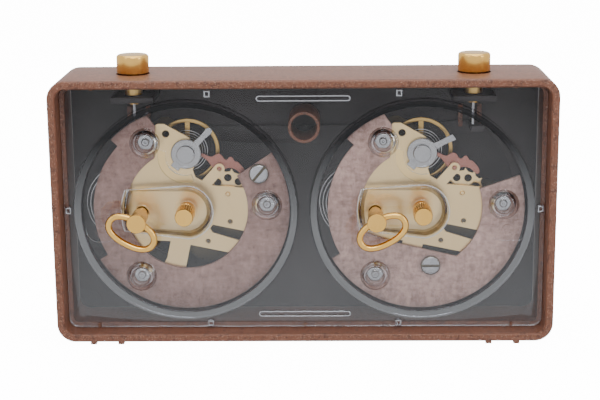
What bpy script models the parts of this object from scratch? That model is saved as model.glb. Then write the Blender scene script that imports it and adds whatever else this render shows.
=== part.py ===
"""Mechanical chess clock: one case, two spring-driven movements, rocker and buttons.

The clock stands with its dials facing +Y and its clear rear cover facing -Y.
All dimensions are in millimetres. A depth is counted from the rear rim towards the dials,
a height from the underside of the case, and x from the middle of the case.
"""
import math

import bmesh
import bpy
from mathutils import Matrix, Vector

MM = 0.001

# ---- driving dimensions, case ----
CASE_WIDTH = 186.0
CASE_HEIGHT = 99.15
CASE_DEPTH = 38.0
CORNER_RADIUS = 6.9
WALL = 3.0
RIM_ROUND = 0.9
FOOT_HEIGHT = 1.0
FOOT_WIDTH = 2.2
FOOT_PLACES = (-79.5, -69.1, 69.1, 79.5)
KEY_REACH = 2.7
LENS_FACE = 39.6
MID_DEPTH = (LENS_FACE - KEY_REACH) / 2
CORNER_STEPS = 4

# ---- depths of the layers ----
COVER_FACE = 8.0
COVER_THICK = 1.6
POCKET_FLOOR = 11.5
FLOOR_THICK = 1.1
SKIRT_END = 12.6
SPACER_BACK, SPACER_FRONT = 13.6, 15.1
BACK_PLATE, BACK_PLATE_END = 15.4, 16.6
FRONT_PLATE, FRONT_PLATE_END = 29.8, 31.0
ROCKER_BACK, ROCKER_FRONT = 31.4, 32.4
DIAL_BACK, DIAL_FRONT = 32.8, 33.4
PANEL_BACK, PANEL_FRONT = 33.7, 35.9

# ---- rear cover: skirt, pocket, blisters, regulator slot ----
SKIRT_OUT, SKIRT_IN = 42.0, 39.7
BOWL_RISE = 0.3
POCKET_HALF, POCKET_KEY_END, POCKET_TILT = 10.2, 24.2, 5.0
POCKET_WALL = 1.6
KEY_OPENING = 3.7
SLOT_RADII = (7.4, 10.0)
SLOT_SPAN = (165, 285)

# ---- places in one movement, measured from its centre arbor ----
AXIS_X = 44.2
AXIS_Z = 48.0
KEY = (-17.3, -1.5)
THIRD = (7.6, -12.8)
FOURTH = (16.1, -5.2)
ESCAPE = (15.45, 5.6)
PALLET = (12.4, 15.3)
BALANCE = (0.1, 21.3)
NUTS = {"top": (-14.6, 26.5), "side": (30.4, 2.6), "low": (-17.4, -24.7)}
CLAMP_SCREW = {"left": (27.4, 14.0), "right": (3.6, -21.8)}
REGULATOR_ANGLE = {"left": 45.0, "right": 28.0}
RING_TILT = {"left": -29.0, "right": 28.0}

# ---- gearing: teeth, and the smallest gap left beside an arbor ----
TEETH = {"great": 48, "centre": 48, "third": 45, "fourth": 48, "escape": 15}
LEAVES = {"centre": 8, "third": 6, "fourth": 6, "escape": 6}
ADDENDUM, DEDENDUM = 0.75, 1.25
RUNNING_GAP = 0.3
SHAFT_RADIUS = 1.2
ARBOR_RADIUS = 0.7
PIVOT_HOLE = 1.05
PILLAR_RADIUS = 2.7
ARBOR_START, ARBOR_END = 15.5, 30.7

# ---- buttons and rocker ----
BUTTON_X = 63.5
BUTTON_DEPTH = 19.0
BUTTON_RADIUS = 6.0
BUTTON_TOP = 106.4
BUTTON_UNDER = 99.5
BUTTON_HOLE = 6.3
STEM_RADIUS = 2.2
STEM_END = 79.2
COLLAR_Z = 87.9
PIN_RADIUS = 0.75
BUSH_RADIUS = 3.45
BUSH_LOW, BUSH_HIGH = 91.4, 95.9
SHELF_LOW, SHELF_HIGH = 88.8, 91.1
ROCKER_PIVOT_Z = 75.0

# ---- dial side ----
DIAL_RADIUS = 37.0
WINDOW_RADIUS = 33.6
FLAG_PIVOT = (0.0, 29.0)
HOUR_TURN, MINUTE_TURN = 55.0, -60.0

PAINT = {
    "case_brown": ((0.235, 0.105, 0.062), 0.5, 0.0),
    "panel_grey": ((0.05, 0.048, 0.05), 0.5, 0.0),
    "clear": ((0.8, 0.83, 0.86), 0.08, 0.0),
    "gold": ((0.83, 0.56, 0.2), 0.25, 1.0),
    "brass": ((0.86, 0.7, 0.42), 0.3, 1.0),
    "steel": ((0.62, 0.63, 0.66), 0.3, 1.0),
    "board": ((0.2, 0.115, 0.09), 0.85, 0.0),
    "copper": ((0.62, 0.28, 0.2), 0.35, 1.0),
    "ivory": ((0.87, 0.85, 0.78), 0.45, 0.0),
    "black": ((0.012, 0.012, 0.012), 0.4, 0.0),
    "red": ((0.55, 0.02, 0.015), 0.4, 0.0),
}


# ---------------------------------------------------------------- outlines
def polar(radius, degrees, centre=(0.0, 0.0)):
    turn = math.radians(degrees)
    return (centre[0] + radius * math.cos(turn), centre[1] + radius * math.sin(turn))


def arc(radius, start, end, steps, centre=(0.0, 0.0)):
    """Points along an arc, both ends included, angles in degrees."""
    return [polar(radius, start + (end - start) * i / steps, centre) for i in range(steps + 1)]


def circle(radius, steps=16, centre=(0.0, 0.0)):
    return arc(radius, 0, 360, steps, centre)[:-1]


def rounded_rectangle(inset):
    """Outline of the case, moved inwards by inset."""
    half_x = CASE_WIDTH / 2 - inset
    half_z = CASE_HEIGHT / 2 - inset
    radius = max(CORNER_RADIUS - inset, 1.2)
    points = []
    for quarter, (sx, sz) in enumerate(((1, 1), (-1, 1), (-1, -1), (1, -1))):
        centre = (sx * (half_x - radius), CASE_HEIGHT / 2 + sz * (half_z - radius))
        points += arc(radius, 90 * quarter, 90 * quarter + 90, CORNER_STEPS, centre)
    return points


def toothed(teeth, pitch_radius, first_tooth):
    """Outline of a wheel with pointed teeth; first_tooth is the angle of one tip."""
    module = 2 * pitch_radius / teeth
    radii = (pitch_radius + ADDENDUM * module, pitch_radius - DEDENDUM * module)
    return [polar(radii[i % 2], first_tooth + 180.0 * i / teeth) for i in range(2 * teeth)]


def escape_outline():
    """Fifteen raked teeth, each with a pointed tip leaning forwards."""
    points = []
    for tooth in range(TEETH["escape"]):
        start = tooth * 360.0 / TEETH["escape"]
        points += [polar(6.9, start), polar(8.3, start + 9.0), polar(7.0, start + 12.0)]
    return points


def capsule(start, end, radius, steps=4):
    """Outline of a bar with round ends."""
    heading = math.degrees(math.atan2(end[1] - start[1], end[0] - start[0]))
    return (arc(radius, heading - 90, heading + 90, steps, end)
            + arc(radius, heading + 90, heading + 270, steps, start))


# ---------------------------------------------------------------- solids
def plate(outline, back, front, holes=()):
    """A flat plate from depth back to depth front, with through holes."""
    bm = bmesh.new()
    edges = []
    for ring in (outline, *holes):
        verts = [bm.verts.new((x, back, z)) for x, z in ring]
        edges += [bm.edges.new(pair) for pair in zip(verts, verts[1:] + verts[:1])]
    bmesh.ops.triangle_fill(bm, edges=edges, use_beauty=True)
    pulled = bmesh.ops.extrude_face_region(bm, geom=bm.faces[:])
    far = [item for item in pulled["geom"] if isinstance(item, bmesh.types.BMVert)]
    bmesh.ops.translate(bm, vec=(0, front - back, 0), verts=far)
    return bm


def turned(profile, steps=16, closed=False, upright=False):
    """A turned solid; profile lists (radius, depth), or (radius, height) when upright."""
    bm = bmesh.new()
    line = [bm.verts.new((r, 0, t) if upright else (r, t, 0)) for r, t in profile]
    edges = [bm.edges.new(pair) for pair in zip(line, line[1:])]
    if closed:
        edges.append(bm.edges.new((line[-1], line[0])))
    axis = (0, 0, 1) if upright else (0, 1, 0)
    bmesh.ops.spin(bm, geom=line + edges, cent=(0, 0, 0), axis=axis, angle=2 * math.pi,
                   steps=steps, use_merge=True, use_duplicate=False)
    bmesh.ops.remove_doubles(bm, verts=bm.verts, dist=1e-4)
    return bm


def framed(profile):
    """A frame that follows the case outline; profile lists (inset, depth) as a closed loop."""
    bm = bmesh.new()
    rings = [[bm.verts.new((x, depth, z)) for x, z in rounded_rectangle(inset)]
             for inset, depth in profile]
    for ring, following in zip(rings, rings[1:] + rings[:1]):
        for i, corner in enumerate(ring):
            bm.faces.new((corner, ring[i - 1], following[i - 1], following[i]))
    return bm


def ribbon(path, thick, back, front):
    """A strip that stands on edge along an open path of (x, z) points."""
    bm = bmesh.new()
    sections = []
    for i, (x, z) in enumerate(path):
        before, after = path[max(i - 1, 0)], path[min(i + 1, len(path) - 1)]
        side = Vector((before[1] - after[1], after[0] - before[0])).normalized() * thick / 2
        sections.append([bm.verts.new((x + s * side.x, depth, z + s * side.y))
                         for s, depth in ((1, back), (1, front), (-1, front), (-1, back))])
    for one, two in zip(sections, sections[1:]):
        for k in range(4):
            bm.faces.new((one[k], one[k - 1], two[k - 1], two[k]))
    bm.faces.new(sections[0])
    bm.faces.new(sections[-1])
    return bm


def box(low, high):
    bm = bmesh.new()
    bmesh.ops.create_cube(bm, size=1.0)
    middle = (Vector(low) + Vector(high)) / 2
    size = Vector(high) - Vector(low)
    bmesh.ops.transform(bm, matrix=Matrix.LocRotScale(middle, None, size), verts=bm.verts)
    return bm


def moved(bm, x=0.0, depth=0.0, z=0.0):
    bmesh.ops.translate(bm, vec=(x, depth, z), verts=bm.verts)
    return bm


def tooth_towards(centre, other):
    return math.degrees(math.atan2(other[1] - centre[1], other[0] - centre[0]))


def gap_towards(centre, other, leaves):
    return tooth_towards(centre, other) + 180.0 / leaves


# ---------------------------------------------------------------- objects
def paint(name):
    """One Principled material per finish, made once."""
    material = bpy.data.materials.get(name)
    if material is None:
        colour, roughness, metallic = PAINT[name]
        material = bpy.data.materials.new(name)
        material.use_nodes = True
        shader = material.node_tree.nodes["Principled BSDF"]
        shader.inputs["Base Color"].default_value = (*colour, 1.0)
        shader.inputs["Roughness"].default_value = roughness
        shader.inputs["Metallic"].default_value = metallic
        if name == "clear":
            shader.inputs["Alpha"].default_value = 0.35
    return material


def mesh_object(name, bm):
    bmesh.ops.recalc_face_normals(bm, faces=bm.faces)
    bmesh.ops.scale(bm, vec=(MM, MM, MM), verts=bm.verts)
    mesh = bpy.data.meshes.new(name)
    bm.to_mesh(mesh)
    bm.free()
    mesh.shade_smooth()
    mesh.set_sharp_from_angle(angle=math.radians(35))
    return bpy.data.objects.new(name, mesh)


def guide_group(name, solids):
    """Hidden solids that a Boolean adds or cuts as one collection."""
    group = bpy.data.collections.new(name)
    bpy.context.scene.collection.children.link(group)
    for number, bm in enumerate(solids):
        guide = mesh_object(f"{name}_{number}", bm)
        guide.hide_render = True
        guide.display_type = "WIRE"
        group.objects.link(guide)
    return group


def piece(name, bm, finish, parent, at=(0.0, 0.0, 0.0), adds=(), cuts=()):
    """A named sub-part: its solid, what is joined to it, then what is cut from it."""
    shape = mesh_object(name, bm)
    shape.data.materials.append(paint(finish))
    bpy.context.scene.collection.objects.link(shape)
    shape.parent = parent
    shape.location = Vector(at) * MM
    for operation, solids in (("UNION", adds), ("DIFFERENCE", cuts)):
        if not solids:
            continue
        group = guide_group(f"{name}_{operation.lower()}", solids)
        for guide in group.objects:
            guide.parent = parent
            guide.location = shape.location
        step = shape.modifiers.new(operation.title(), "BOOLEAN")
        step.operation = operation
        step.operand_type = "COLLECTION"
        step.collection = group
        step.solver = "EXACT"
    return shape


def empty(name, parent, at):
    marker = bpy.data.objects.new(name, None)
    bpy.context.scene.collection.objects.link(marker)
    marker.parent = parent
    marker.location = Vector(at) * MM
    return marker


# ---------------------------------------------------------------- case
def movement_places():
    return {"left": -AXIS_X, "right": AXIS_X}


def make_case(root):
    ledge = 1.7
    profile = [(RIM_ROUND, 0), (0.25, 0.25), (0, RIM_ROUND), (0, CASE_DEPTH - RIM_ROUND),
               (0.25, CASE_DEPTH - 0.25), (RIM_ROUND, CASE_DEPTH), (WALL, CASE_DEPTH),
               (WALL, 12.5), (WALL + ledge, 11.5), (WALL + ledge, 10.0), (WALL, 10.0), (WALL, 0)]
    feet = [box((x - FOOT_WIDTH / 2, depth - 2, -FOOT_HEIGHT), (x + FOOT_WIDTH / 2, depth + 2, 0.6))
            for x in FOOT_PLACES for depth in (2.6, CASE_DEPTH - 2.6)]
    above, below = CASE_HEIGHT + 5, CASE_HEIGHT - 9
    button_holes = []
    for x in (-BUTTON_X, BUTTON_X):
        hole = turned([(0, above), (BUTTON_HOLE, above), (BUTTON_HOLE, below), (0, below)], 20, upright=True)
        button_holes.append(moved(hole, x=x, depth=BUTTON_DEPTH))
    piece("case_shell", framed(profile), "case_brown", root, adds=feet, cuts=button_holes)


def make_panel(root):
    windows = [circle(WINDOW_RADIUS, 28, (x, AXIS_Z)) for x in movement_places().values()]
    raised = [plate(circle(36.6, 28, (x, AXIS_Z)), PANEL_FRONT - 0.4, 37.6,
                    [circle(WINDOW_RADIUS, 28, (x, AXIS_Z))]) for x in movement_places().values()]
    pivot = [moved(turned([(0, 32.9), (1.6, 32.9), (1.6, 35), (0, 35)]), z=ROCKER_PIVOT_Z)]
    shelves, stem_holes = [], []
    for x in (-BUTTON_X, BUTTON_X):
        shelves.append(box((x - 8, BUTTON_DEPTH - 6.5, SHELF_LOW), (x + 8, PANEL_BACK + 0.4, SHELF_HIGH)))
        bore, above, below = STEM_RADIUS + 0.6, SHELF_HIGH + 2, SHELF_LOW - 2
        hole = turned([(0, above), (bore, above), (bore, below), (0, below)], 20, upright=True)
        stem_holes.append(moved(hole, x=x, depth=BUTTON_DEPTH))
    piece("front_panel", plate(rounded_rectangle(WALL + 0.3), PANEL_BACK, PANEL_FRONT, windows),
          "panel_grey", root, adds=raised + pivot + shelves, cuts=stem_holes)


def pocket(inset, back, front, axis_x):
    """Stadium round the key and the knob, its key end cut to an arc about the centre arbor."""
    outline = arc(POCKET_HALF - inset, POCKET_TILT - 90, POCKET_TILT + 90, 6)
    outline += arc(POCKET_KEY_END - inset, 159, 197, 3)
    return plate([(axis_x + x, AXIS_Z + z) for x, z in outline], back, front)


def make_cover(root):
    back, front = COVER_FACE, COVER_FACE + COVER_THICK
    adds, cuts = [], []
    for x in movement_places().values():
        bowl_centre = (x, AXIS_Z + BOWL_RISE)
        skirt_bore = [circle(SKIRT_IN, 32, bowl_centre)]
        adds.append(plate(circle(SKIRT_OUT, 32, bowl_centre), front - 0.5, SKIRT_END, skirt_bore))
        adds.append(pocket(0.0, back + 0.3, POCKET_FLOOR + FLOOR_THICK, x))
        cuts.append(pocket(POCKET_WALL, back - 2, POCKET_FLOOR, x))
        for hole_x, hole_z in (KEY, (0, 0)):
            cuts.append(plate(circle(KEY_OPENING, 12, (x + hole_x, AXIS_Z + hole_z)), 10.5, 14))
        for nut_x, nut_z in NUTS.values():
            place = {"x": x + nut_x, "z": AXIS_Z + nut_z}
            blister = turned([(0, 5.2), (5.2, 5.2), (6.2, front - 0.3), (0, front - 0.3)], 10)
            adds.append(moved(blister, **place))
            cuts.append(moved(turned([(0, 6.6), (4.1, 6.6), (4.9, front + 1), (0, front + 1)], 10), **place))
        slot_x, slot_z = x + BALANCE[0], AXIS_Z + BALANCE[1]
        (start, end), (inner, outer) = SLOT_SPAN, SLOT_RADII
        slot = arc(outer, start, end, 7, (slot_x, slot_z)) + arc(inner, end, start, 7, (slot_x, slot_z))
        cuts.append(plate(slot, back - 1, front + 1))
    piece("rear_cover", plate(rounded_rectangle(WALL + 0.35), back, front), "clear", root,
          adds=adds, cuts=cuts)


def make_centre_tube(root):
    """Screw boss behind the rear cover."""
    profile = [(6.0, 12.5), (6.0, 31.0), (4.8, 31.0), (4.8, 12.5)]
    tube = turned(profile, steps=24, closed=True)
    piece("centre_tube", tube, "case_brown", root, at=(0.2, 0, 79.5))


def make_rocker(root):
    """Bar behind the dials: a tongue at each end reaches back under a button stem."""
    pivot = empty("rocker_axis", root, (0, 0, ROCKER_PIVOT_Z))
    top, low, arm = 3.9, -5.0, BUTTON_X + 6
    bar = [(-arm, -1.0), (-20, low), (20, low), (arm, -1.0), (arm, top), (30, 1.8), (-30, 1.8), (-arm, top)]
    ends = []
    for out in (-1, 1):
        x = out * BUTTON_X
        near, far = sorted((x - out * 0.8, x + out * 3.7))
        ends.append(box((near, BUTTON_DEPTH - 2, top - 2), (far, ROCKER_FRONT - 0.3, top)))
        for post in (-3.6, 3.6):
            ends.append(box((x + post - 0.9, ROCKER_BACK, top - 3), (x + post + 0.9, ROCKER_FRONT, top + 6)))
    hole = [turned([(0, 30), (2.0, 30), (2.0, 34), (0, 34)])]
    piece("rocker", plate(bar, ROCKER_BACK, ROCKER_FRONT), "case_brown", pivot, adds=ends, cuts=hole)


def make_buttons(root):
    for side, x in (("left", -BUTTON_X), ("right", BUTTON_X)):
        top, under = BUTTON_TOP, BUTTON_UNDER
        cap = [(0, top), (5.2, top), (5.85, top - 0.5), (BUTTON_RADIUS, top - 1.3), (BUTTON_RADIUS, under)]
        stem = [(STEM_RADIUS, under), (STEM_RADIUS, COLLAR_Z), (PIN_RADIUS, COLLAR_Z), (PIN_RADIUS, STEM_END),
                (0, STEM_END)]
        button = turned(cap + stem, 20, upright=True)
        piece(f"button_{side}", button, "gold", root, at=(x, BUTTON_DEPTH, 0))
        bush = [(BUSH_RADIUS, BUSH_HIGH), (BUSH_RADIUS, BUSH_LOW), (2.5, BUSH_LOW), (2.5, BUSH_HIGH)]
        piece(f"bushing_{side}", turned(bush, 20, closed=True, upright=True), "gold", root,
              at=(x, BUTTON_DEPTH, 0))


# ---------------------------------------------------------------- movement
def plate_outline():
    """Edge of the two movement plates, about the centre arbor."""
    return ([(-10.4, 32.6), (-7.9, 32.6), (1.3, 27.3), (5.6, 21.0), (2.4, 15.1), (3.3, 12.3), (5.8, 10.8)]
            + arc(2.0, 150, -50, 5, PALLET)
            + [(9.4, 9.0), (21.3, 8.0)]
            + arc(4.2, 70, -60, 4, NUTS["side"])
            + [(21.3, -8.8), (9.5, -6.3), (8.4, -7.8), (9.4, -9.4), (19.6, -12.6), (16.0, -17.4)]
            + [(0.8, -14.2), (-1.8, -26.0)]
            + arc(4.2, -60, -190, 4, NUTS["low"])
            + [(-25.0, -16.0), (-26.5, -4.0), (-25.0, 8.0), (-21.0, 18.0)]
            + arc(3.2, 190, 100, 3, NUTS["top"]))


def leg_gap():
    return [(-6.7, -12.7), (-12.5, -12.4), (-17.0, -15.0), (-14.0, -19.5), (-9.4, -21.5), (-8.2, -19.3)]


def spacer_outline(side):
    outer, inner, stepped = 38.8, 23.0, 35.3
    if side == "left":
        start = arc(inner, -110, 34, 10) + arc(outer, 34, -150, 18)
    else:
        start = [(-8.9, -13.5), (13.6, -18.8)] + arc(inner, -42, 19, 5) + arc(outer, 19, -150, 17)
    middle = arc(stepped, -150, -224, 7) + arc(outer, -224, -248.5, 3)
    first = -110 if side == "left" else -154
    steps = 9 if side == "left" else 6
    return start + middle + [(-11.2, 32.0)] + arc(inner, 121, 360 + first, steps)[:-1]


def make_frame(movement, side, name):
    pivots = [circle(PIVOT_HOLE, 6, at) for at in (THIRD, FOURTH, ESCAPE, PALLET, BALANCE)]
    shaft = circle(SHAFT_RADIUS + RUNNING_GAP, 10)
    studs = [circle(1.85, 8, at) for at in NUTS.values()]
    holes = pivots + [shaft, leg_gap()]
    back_holes = holes + studs + [circle(2.5, 12, KEY), circle(1.4, 8, (-7.4, 28.8))]
    back = plate(plate_outline(), BACK_PLATE, BACK_PLATE_END, back_holes)
    piece(name("back_plate"), back, "brass", movement)
    front_holes = holes + [circle(2.1, 10, KEY)]
    foot, head = BACK_PLATE_END + 0.3, FRONT_PLATE + 0.4
    pillar = [(0, foot), (PILLAR_RADIUS, foot), (PILLAR_RADIUS, head), (0, head)]
    pillars = [moved(turned(pillar, 10), x=x, z=z) for x, z in NUTS.values()]
    front = plate(plate_outline(), FRONT_PLATE, FRONT_PLATE_END, front_holes)
    piece(name("front_plate"), front, "brass", movement, adds=pillars)
    spacer_holes = [circle(1.9, 8, at) for at in NUTS.values()] + [circle(2.1, 8, CLAMP_SCREW[side])]
    spacer = plate(spacer_outline(side), SPACER_BACK, SPACER_FRONT, spacer_holes)
    piece(name("spacer"), spacer, "board", movement)


def make_fasteners(movement, side, name):
    for place, (x, z) in NUTS.items():
        hexagon = plate(circle(5.5 / math.sqrt(3), 6), 11.2, 13.3)
        stud = turned([(0, 10.2), (1.5, 10.2), (1.5, 16.7), (0, 16.7)], 10)
        piece(name(f"nut_{place}"), hexagon, "steel", movement, at=(x, 0, z), adds=[stud])
    x, z = CLAMP_SCREW[side]
    profile = [(0, 11.6), (3.3, 11.6), (3.75, 12.0), (3.75, 13.3), (1.7, 13.3), (1.7, 16.0), (0, 16.0)]
    slot_angle = math.radians(50 if side == "left" else 0)
    slot = box((-5, 11.0, -0.45), (5, 12.3, 0.45))
    bmesh.ops.rotate(slot, cent=(0, 0, 0), matrix=Matrix.Rotation(-slot_angle, 3, "Y"), verts=slot.verts)
    piece(name("clamp_screw"), turned(profile, 14), "steel", movement, at=(x, 0, z), cuts=[slot])


def key_ring_path():
    """Centre line of the oval bail: two straight sides with round ends."""
    reach, half = 21.5 / 2 - 1.05, 6.0 - 1.05
    return arc(half, -90, 90, 6, (reach - half, 0)) + arc(half, 90, 270, 6, (half - reach, 0))


def make_key(movement, side, name):
    axis = empty(name("key_axis"), movement, (KEY[0], 0, KEY[1]))
    profile = [(0, -KEY_REACH), (3.3, -KEY_REACH), (3.55, -2.4), (3.55, -1.2), (2.95, -0.9), (2.95, 10.0),
               (2.2, 10.4), (2.2, 24.0), (3.4, 24.0), (3.4, 26.2), (2.2, 26.2), (2.2, 28.4), (1.7, 28.4),
               (1.7, 30.6), (0, 30.6)]
    tilt = Matrix.Rotation(-math.radians(RING_TILT[side]), 3, "Y")
    tunnel = turned([(0, 6), (1.4, 6), (1.4, -6), (0, -6)], 8, upright=True)
    lie_down = Matrix.Rotation(math.pi / 2, 3, "Y")
    bmesh.ops.rotate(tunnel, cent=(0, 0, 0), matrix=tilt @ lie_down, verts=tunnel.verts)
    moved(tunnel, depth=1.2)
    piece(name("winding_key"), turned(profile, 14), "gold", axis, cuts=[tunnel])
    bail = bpy.data.curves.new(name("key_ring"), "CURVE")
    bail.dimensions = "3D"
    bail.bevel_depth = 1.05 * MM
    bail.bevel_resolution = 1
    line = bail.splines.new("POLY")
    path = key_ring_path()
    line.points.add(len(path) - 1)
    for point, (x, z) in zip(line.points, path):
        point.co = (x * MM, 0, (z - 4.95) * MM, 1)
    line.use_cyclic_u = True
    bail.materials.append(paint("gold"))
    ring = bpy.data.objects.new(name("key_ring"), bail)
    bpy.context.scene.collection.objects.link(ring)
    ring.parent = axis
    ring.location = Vector((0, 1.2, 0)) * MM
    ring.rotation_euler = tilt.to_euler()


def spiral(inner, outer, turns, steps, drift=(0.0, 0.0), start=0.0):
    """Path of a flat spring; its centre drifts as the coils grow."""
    path = []
    for i in range(int(turns * steps) + 1):
        part = i / (turns * steps)
        centre = (drift[0] * part, drift[1] * part)
        path.append(polar(inner + (outer - inner) * part, start + 360.0 * i / steps, centre))
    return path


def make_springs(movement, name):
    key_place, balance_place = (KEY[0], 0, KEY[1]), (BALANCE[0], 0, BALANCE[1])
    coils = spiral(4.4, 15.0, 4.5, 12, drift=(-6.7, 3.5), start=20)
    piece(name("mainspring"), ribbon(coils, 0.5, 18.2, 23.6), "steel", movement, at=key_place)
    hair = spiral(1.7, 6.6, 3.5, 11, start=200)
    piece(name("hairspring"), ribbon(hair, 0.3, 19.9, 20.5), "steel", movement, at=balance_place)


def pitch_radii(wheel_at, pinion_at, teeth, leaves):
    distance = math.dist(wheel_at, pinion_at)
    return distance * teeth / (teeth + leaves), distance * leaves / (teeth + leaves)


def arbor():
    """Steel arbor between the plates, common to every pivoted part."""
    low, high = ARBOR_START, ARBOR_END
    return turned([(0, low), (ARBOR_RADIUS, low), (ARBOR_RADIUS, high), (0, high)], 6)


def make_train(movement, name):
    centre = (0.0, 0.0)
    great_r, centre_leaf_r = pitch_radii(KEY, centre, TEETH["great"], LEAVES["centre"])
    centre_r, third_leaf_r = pitch_radii(centre, THIRD, TEETH["centre"], LEAVES["third"])
    third_r, fourth_leaf_r = pitch_radii(THIRD, FOURTH, TEETH["third"], LEAVES["fourth"])
    fourth_r, escape_leaf_r = pitch_radii(FOURTH, ESCAPE, TEETH["fourth"], LEAVES["escape"])

    great = toothed(TEETH["great"], great_r, tooth_towards(KEY, centre))
    great = plate(great, 26.5, 27.5, [circle(2.5, 12)])
    piece(name("great_wheel"), great, "brass", movement, at=(KEY[0], 0, KEY[1]))

    bore = [circle(SHAFT_RADIUS + RUNNING_GAP, 10)]
    wheel = toothed(TEETH["centre"], centre_r, tooth_towards(centre, THIRD))
    leaves = toothed(LEAVES["centre"], centre_leaf_r, gap_towards(centre, KEY, LEAVES["centre"]))
    piece(name("centre_wheel"), plate(wheel, 28.2, 29.0, bore), "brass", movement,
          adds=[plate(leaves, 26.2, 28.4, bore)])

    geared = (("third", THIRD, third_r, FOURTH, third_leaf_r, centre, (24.0, 24.8), (27.9, 29.3)),
              ("fourth", FOURTH, fourth_r, ESCAPE, fourth_leaf_r, THIRD, (21.2, 22.0), (23.7, 25.1)),
              ("escape", ESCAPE, None, None, escape_leaf_r, FOURTH, (18.6, 19.2), (20.9, 22.3)))
    for stage, at, wheel_r, driven, leaf_r, driver, wheel_span, leaf_span in geared:
        if wheel_r is None:
            outline = escape_outline()
        else:
            outline = toothed(TEETH[stage], wheel_r, tooth_towards(at, driven))
        pinion = toothed(LEAVES[stage], leaf_r, gap_towards(at, driver, LEAVES[stage]))
        piece(name(f"{stage}_wheel"), plate(outline, *wheel_span), "brass", movement, at=(at[0], 0, at[1]),
              adds=[arbor(), plate(pinion, *leaf_span)])


def make_escapement(movement, side, name):
    pallet_place, balance_place = (PALLET[0], 0, PALLET[1]), (BALANCE[0], 0, BALANCE[1])
    lever = [(-6.2, 5.2), (-5.6, 4.0), (-3.0, 3.2), (-5.2, -0.9), (-3.9, -1.7), (-1.2, -1.2), (1.8, -1.0),
             (8.2, -2.6), (9.4, -1.0), (7.6, 2.2), (5.4, 4.0), (2.8, 2.6), (0.3, 5.2), (-3.4, 4.6)]
    lever = plate(lever, 17.4, 18.0)
    piece(name("pallet_lever"), lever, "copper", movement, at=pallet_place, adds=[arbor()])

    spoke = plate(capsule((0, -11.2), (0, 11.2), 0.9), 22.5, 23.6)
    hub = turned([(0, 21.4), (1.8, 21.4), (1.8, 24.4), (0, 24.4)], 10)
    rim = plate(circle(12.0, 28), 22.3, 23.9, [circle(10.6, 28)])
    piece(name("balance_wheel"), rim, "brass", movement, at=balance_place, adds=[spoke, hub, arbor()])

    disc = [(0, 12.4), (3.1, 12.4), (3.4, 12.7), (3.4, 13.7), (5.5, 13.7), (5.7, 13.9), (5.7, 15.0),
            (0, 15.0)]
    heading = math.radians(REGULATOR_ANGLE[side])
    tip = [(3.0, -1.15), (11.6, -1.15), (13.6, 0.0), (11.6, 1.15), (3.0, 1.15)]
    cosine, sine = math.cos(heading), math.sin(heading)
    arm = plate([(x * cosine - z * sine, x * sine + z * cosine) for x, z in tip], 13.9, 14.7)
    piece(name("regulator"), turned(disc, 16), "steel", movement, at=balance_place, adds=[arm])


def make_setting(movement, name):
    """Knurled knob, its long arbor and the minute hand that it carries."""
    flutes = [polar(3.5 if i % 2 else 3.1, i * 10) for i in range(36)]
    shaft = [(0, 9.0), (2.3, 9.0), (2.3, 11.0), (SHAFT_RADIUS, 11.0), (SHAFT_RADIUS, 36.5), (0, 36.5)]
    piece(name("setting_knob"), plate(flutes, 0.4, 10.0), "gold", movement, adds=[turned(shaft, 10)])
    minute = ([(-1.0, -7.5), (1.0, -7.5), (0.8, -2.0)] + arc(2.4, -60, 60, 4)
              + [(0.8, 2.4), (0.5, 27.0), (-0.5, 27.0), (-0.8, 2.4)] + arc(2.4, 120, 240, 4) + [(-0.8, -2.0)])
    hand = plate(minute, 35.6, 36.0, [circle(SHAFT_RADIUS + 0.1, 16)])
    hand_turn = Matrix.Rotation(math.radians(MINUTE_TURN), 3, "Y")
    bmesh.ops.rotate(hand, cent=(0, 0, 0), matrix=hand_turn, verts=hand.verts)
    piece(name("minute_hand"), hand, "black", movement)
    hour = (arc(3.2, 200, 340, 5) + [(1.1, 3.2), (1.7, 14.0), (0, 19.5), (-1.7, 14.0), (-1.1, 3.2)])
    pipe = plate(circle(2.4, 12), 31.3, 34.9, [circle(SHAFT_RADIUS + RUNNING_GAP, 10)])
    hand_turn = Matrix.Rotation(math.radians(HOUR_TURN), 3, "Y")
    hand = plate(hour, 34.5, 34.9, [circle(SHAFT_RADIUS + RUNNING_GAP, 10)])
    bmesh.ops.rotate(hand, cent=(0, 0, 0), matrix=hand_turn, verts=hand.verts)
    piece(name("hour_hand"), pipe, "black", movement, adds=[hand])


def make_dial_side(movement, name):
    dial = plate(circle(DIAL_RADIUS, 28), DIAL_BACK, DIAL_FRONT, [circle(2.9, 12)])
    pin = turned([(0, DIAL_FRONT - 0.2), (0.6, DIAL_FRONT - 0.2), (0.6, 37.2), (0, 37.2)], 8)
    piece(name("dial"), dial, "ivory", movement, adds=[moved(pin, x=FLAG_PIVOT[0], z=FLAG_PIVOT[1])])
    dome = [(0, LENS_FACE), (20, LENS_FACE - 0.5), (WINDOW_RADIUS - 0.3, LENS_FACE - 1.9),
            (WINDOW_RADIUS - 0.3, 36.2), (WINDOW_RADIUS - 1.6, 36.2), (WINDOW_RADIUS - 1.6, LENS_FACE - 2.6),
            (20, LENS_FACE - 1.8), (0, LENS_FACE - 1.15)]
    piece(name("crystal"), turned(dome, 28), "clear", movement)
    blade = [(1.4, 1.2), (-1.4, 1.2), (-2.6, -5.6), (0.0, -8.6), (2.6, -5.6)]
    blade = plate(blade, 36.5, 36.9, [circle(0.9, 8)])
    piece(name("flag"), blade, "red", movement, at=(FLAG_PIVOT[0], 0, FLAG_PIVOT[1]))


def make_movement(root, side, x):
    movement = empty(f"movement_{side}", root, (x, 0, AXIS_Z))

    def name(part):
        return f"{part}_{side}"

    make_frame(movement, side, name)
    make_fasteners(movement, side, name)
    make_key(movement, side, name)
    make_springs(movement, name)
    make_train(movement, name)
    make_escapement(movement, side, name)
    make_setting(movement, name)
    make_dial_side(movement, name)


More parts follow.
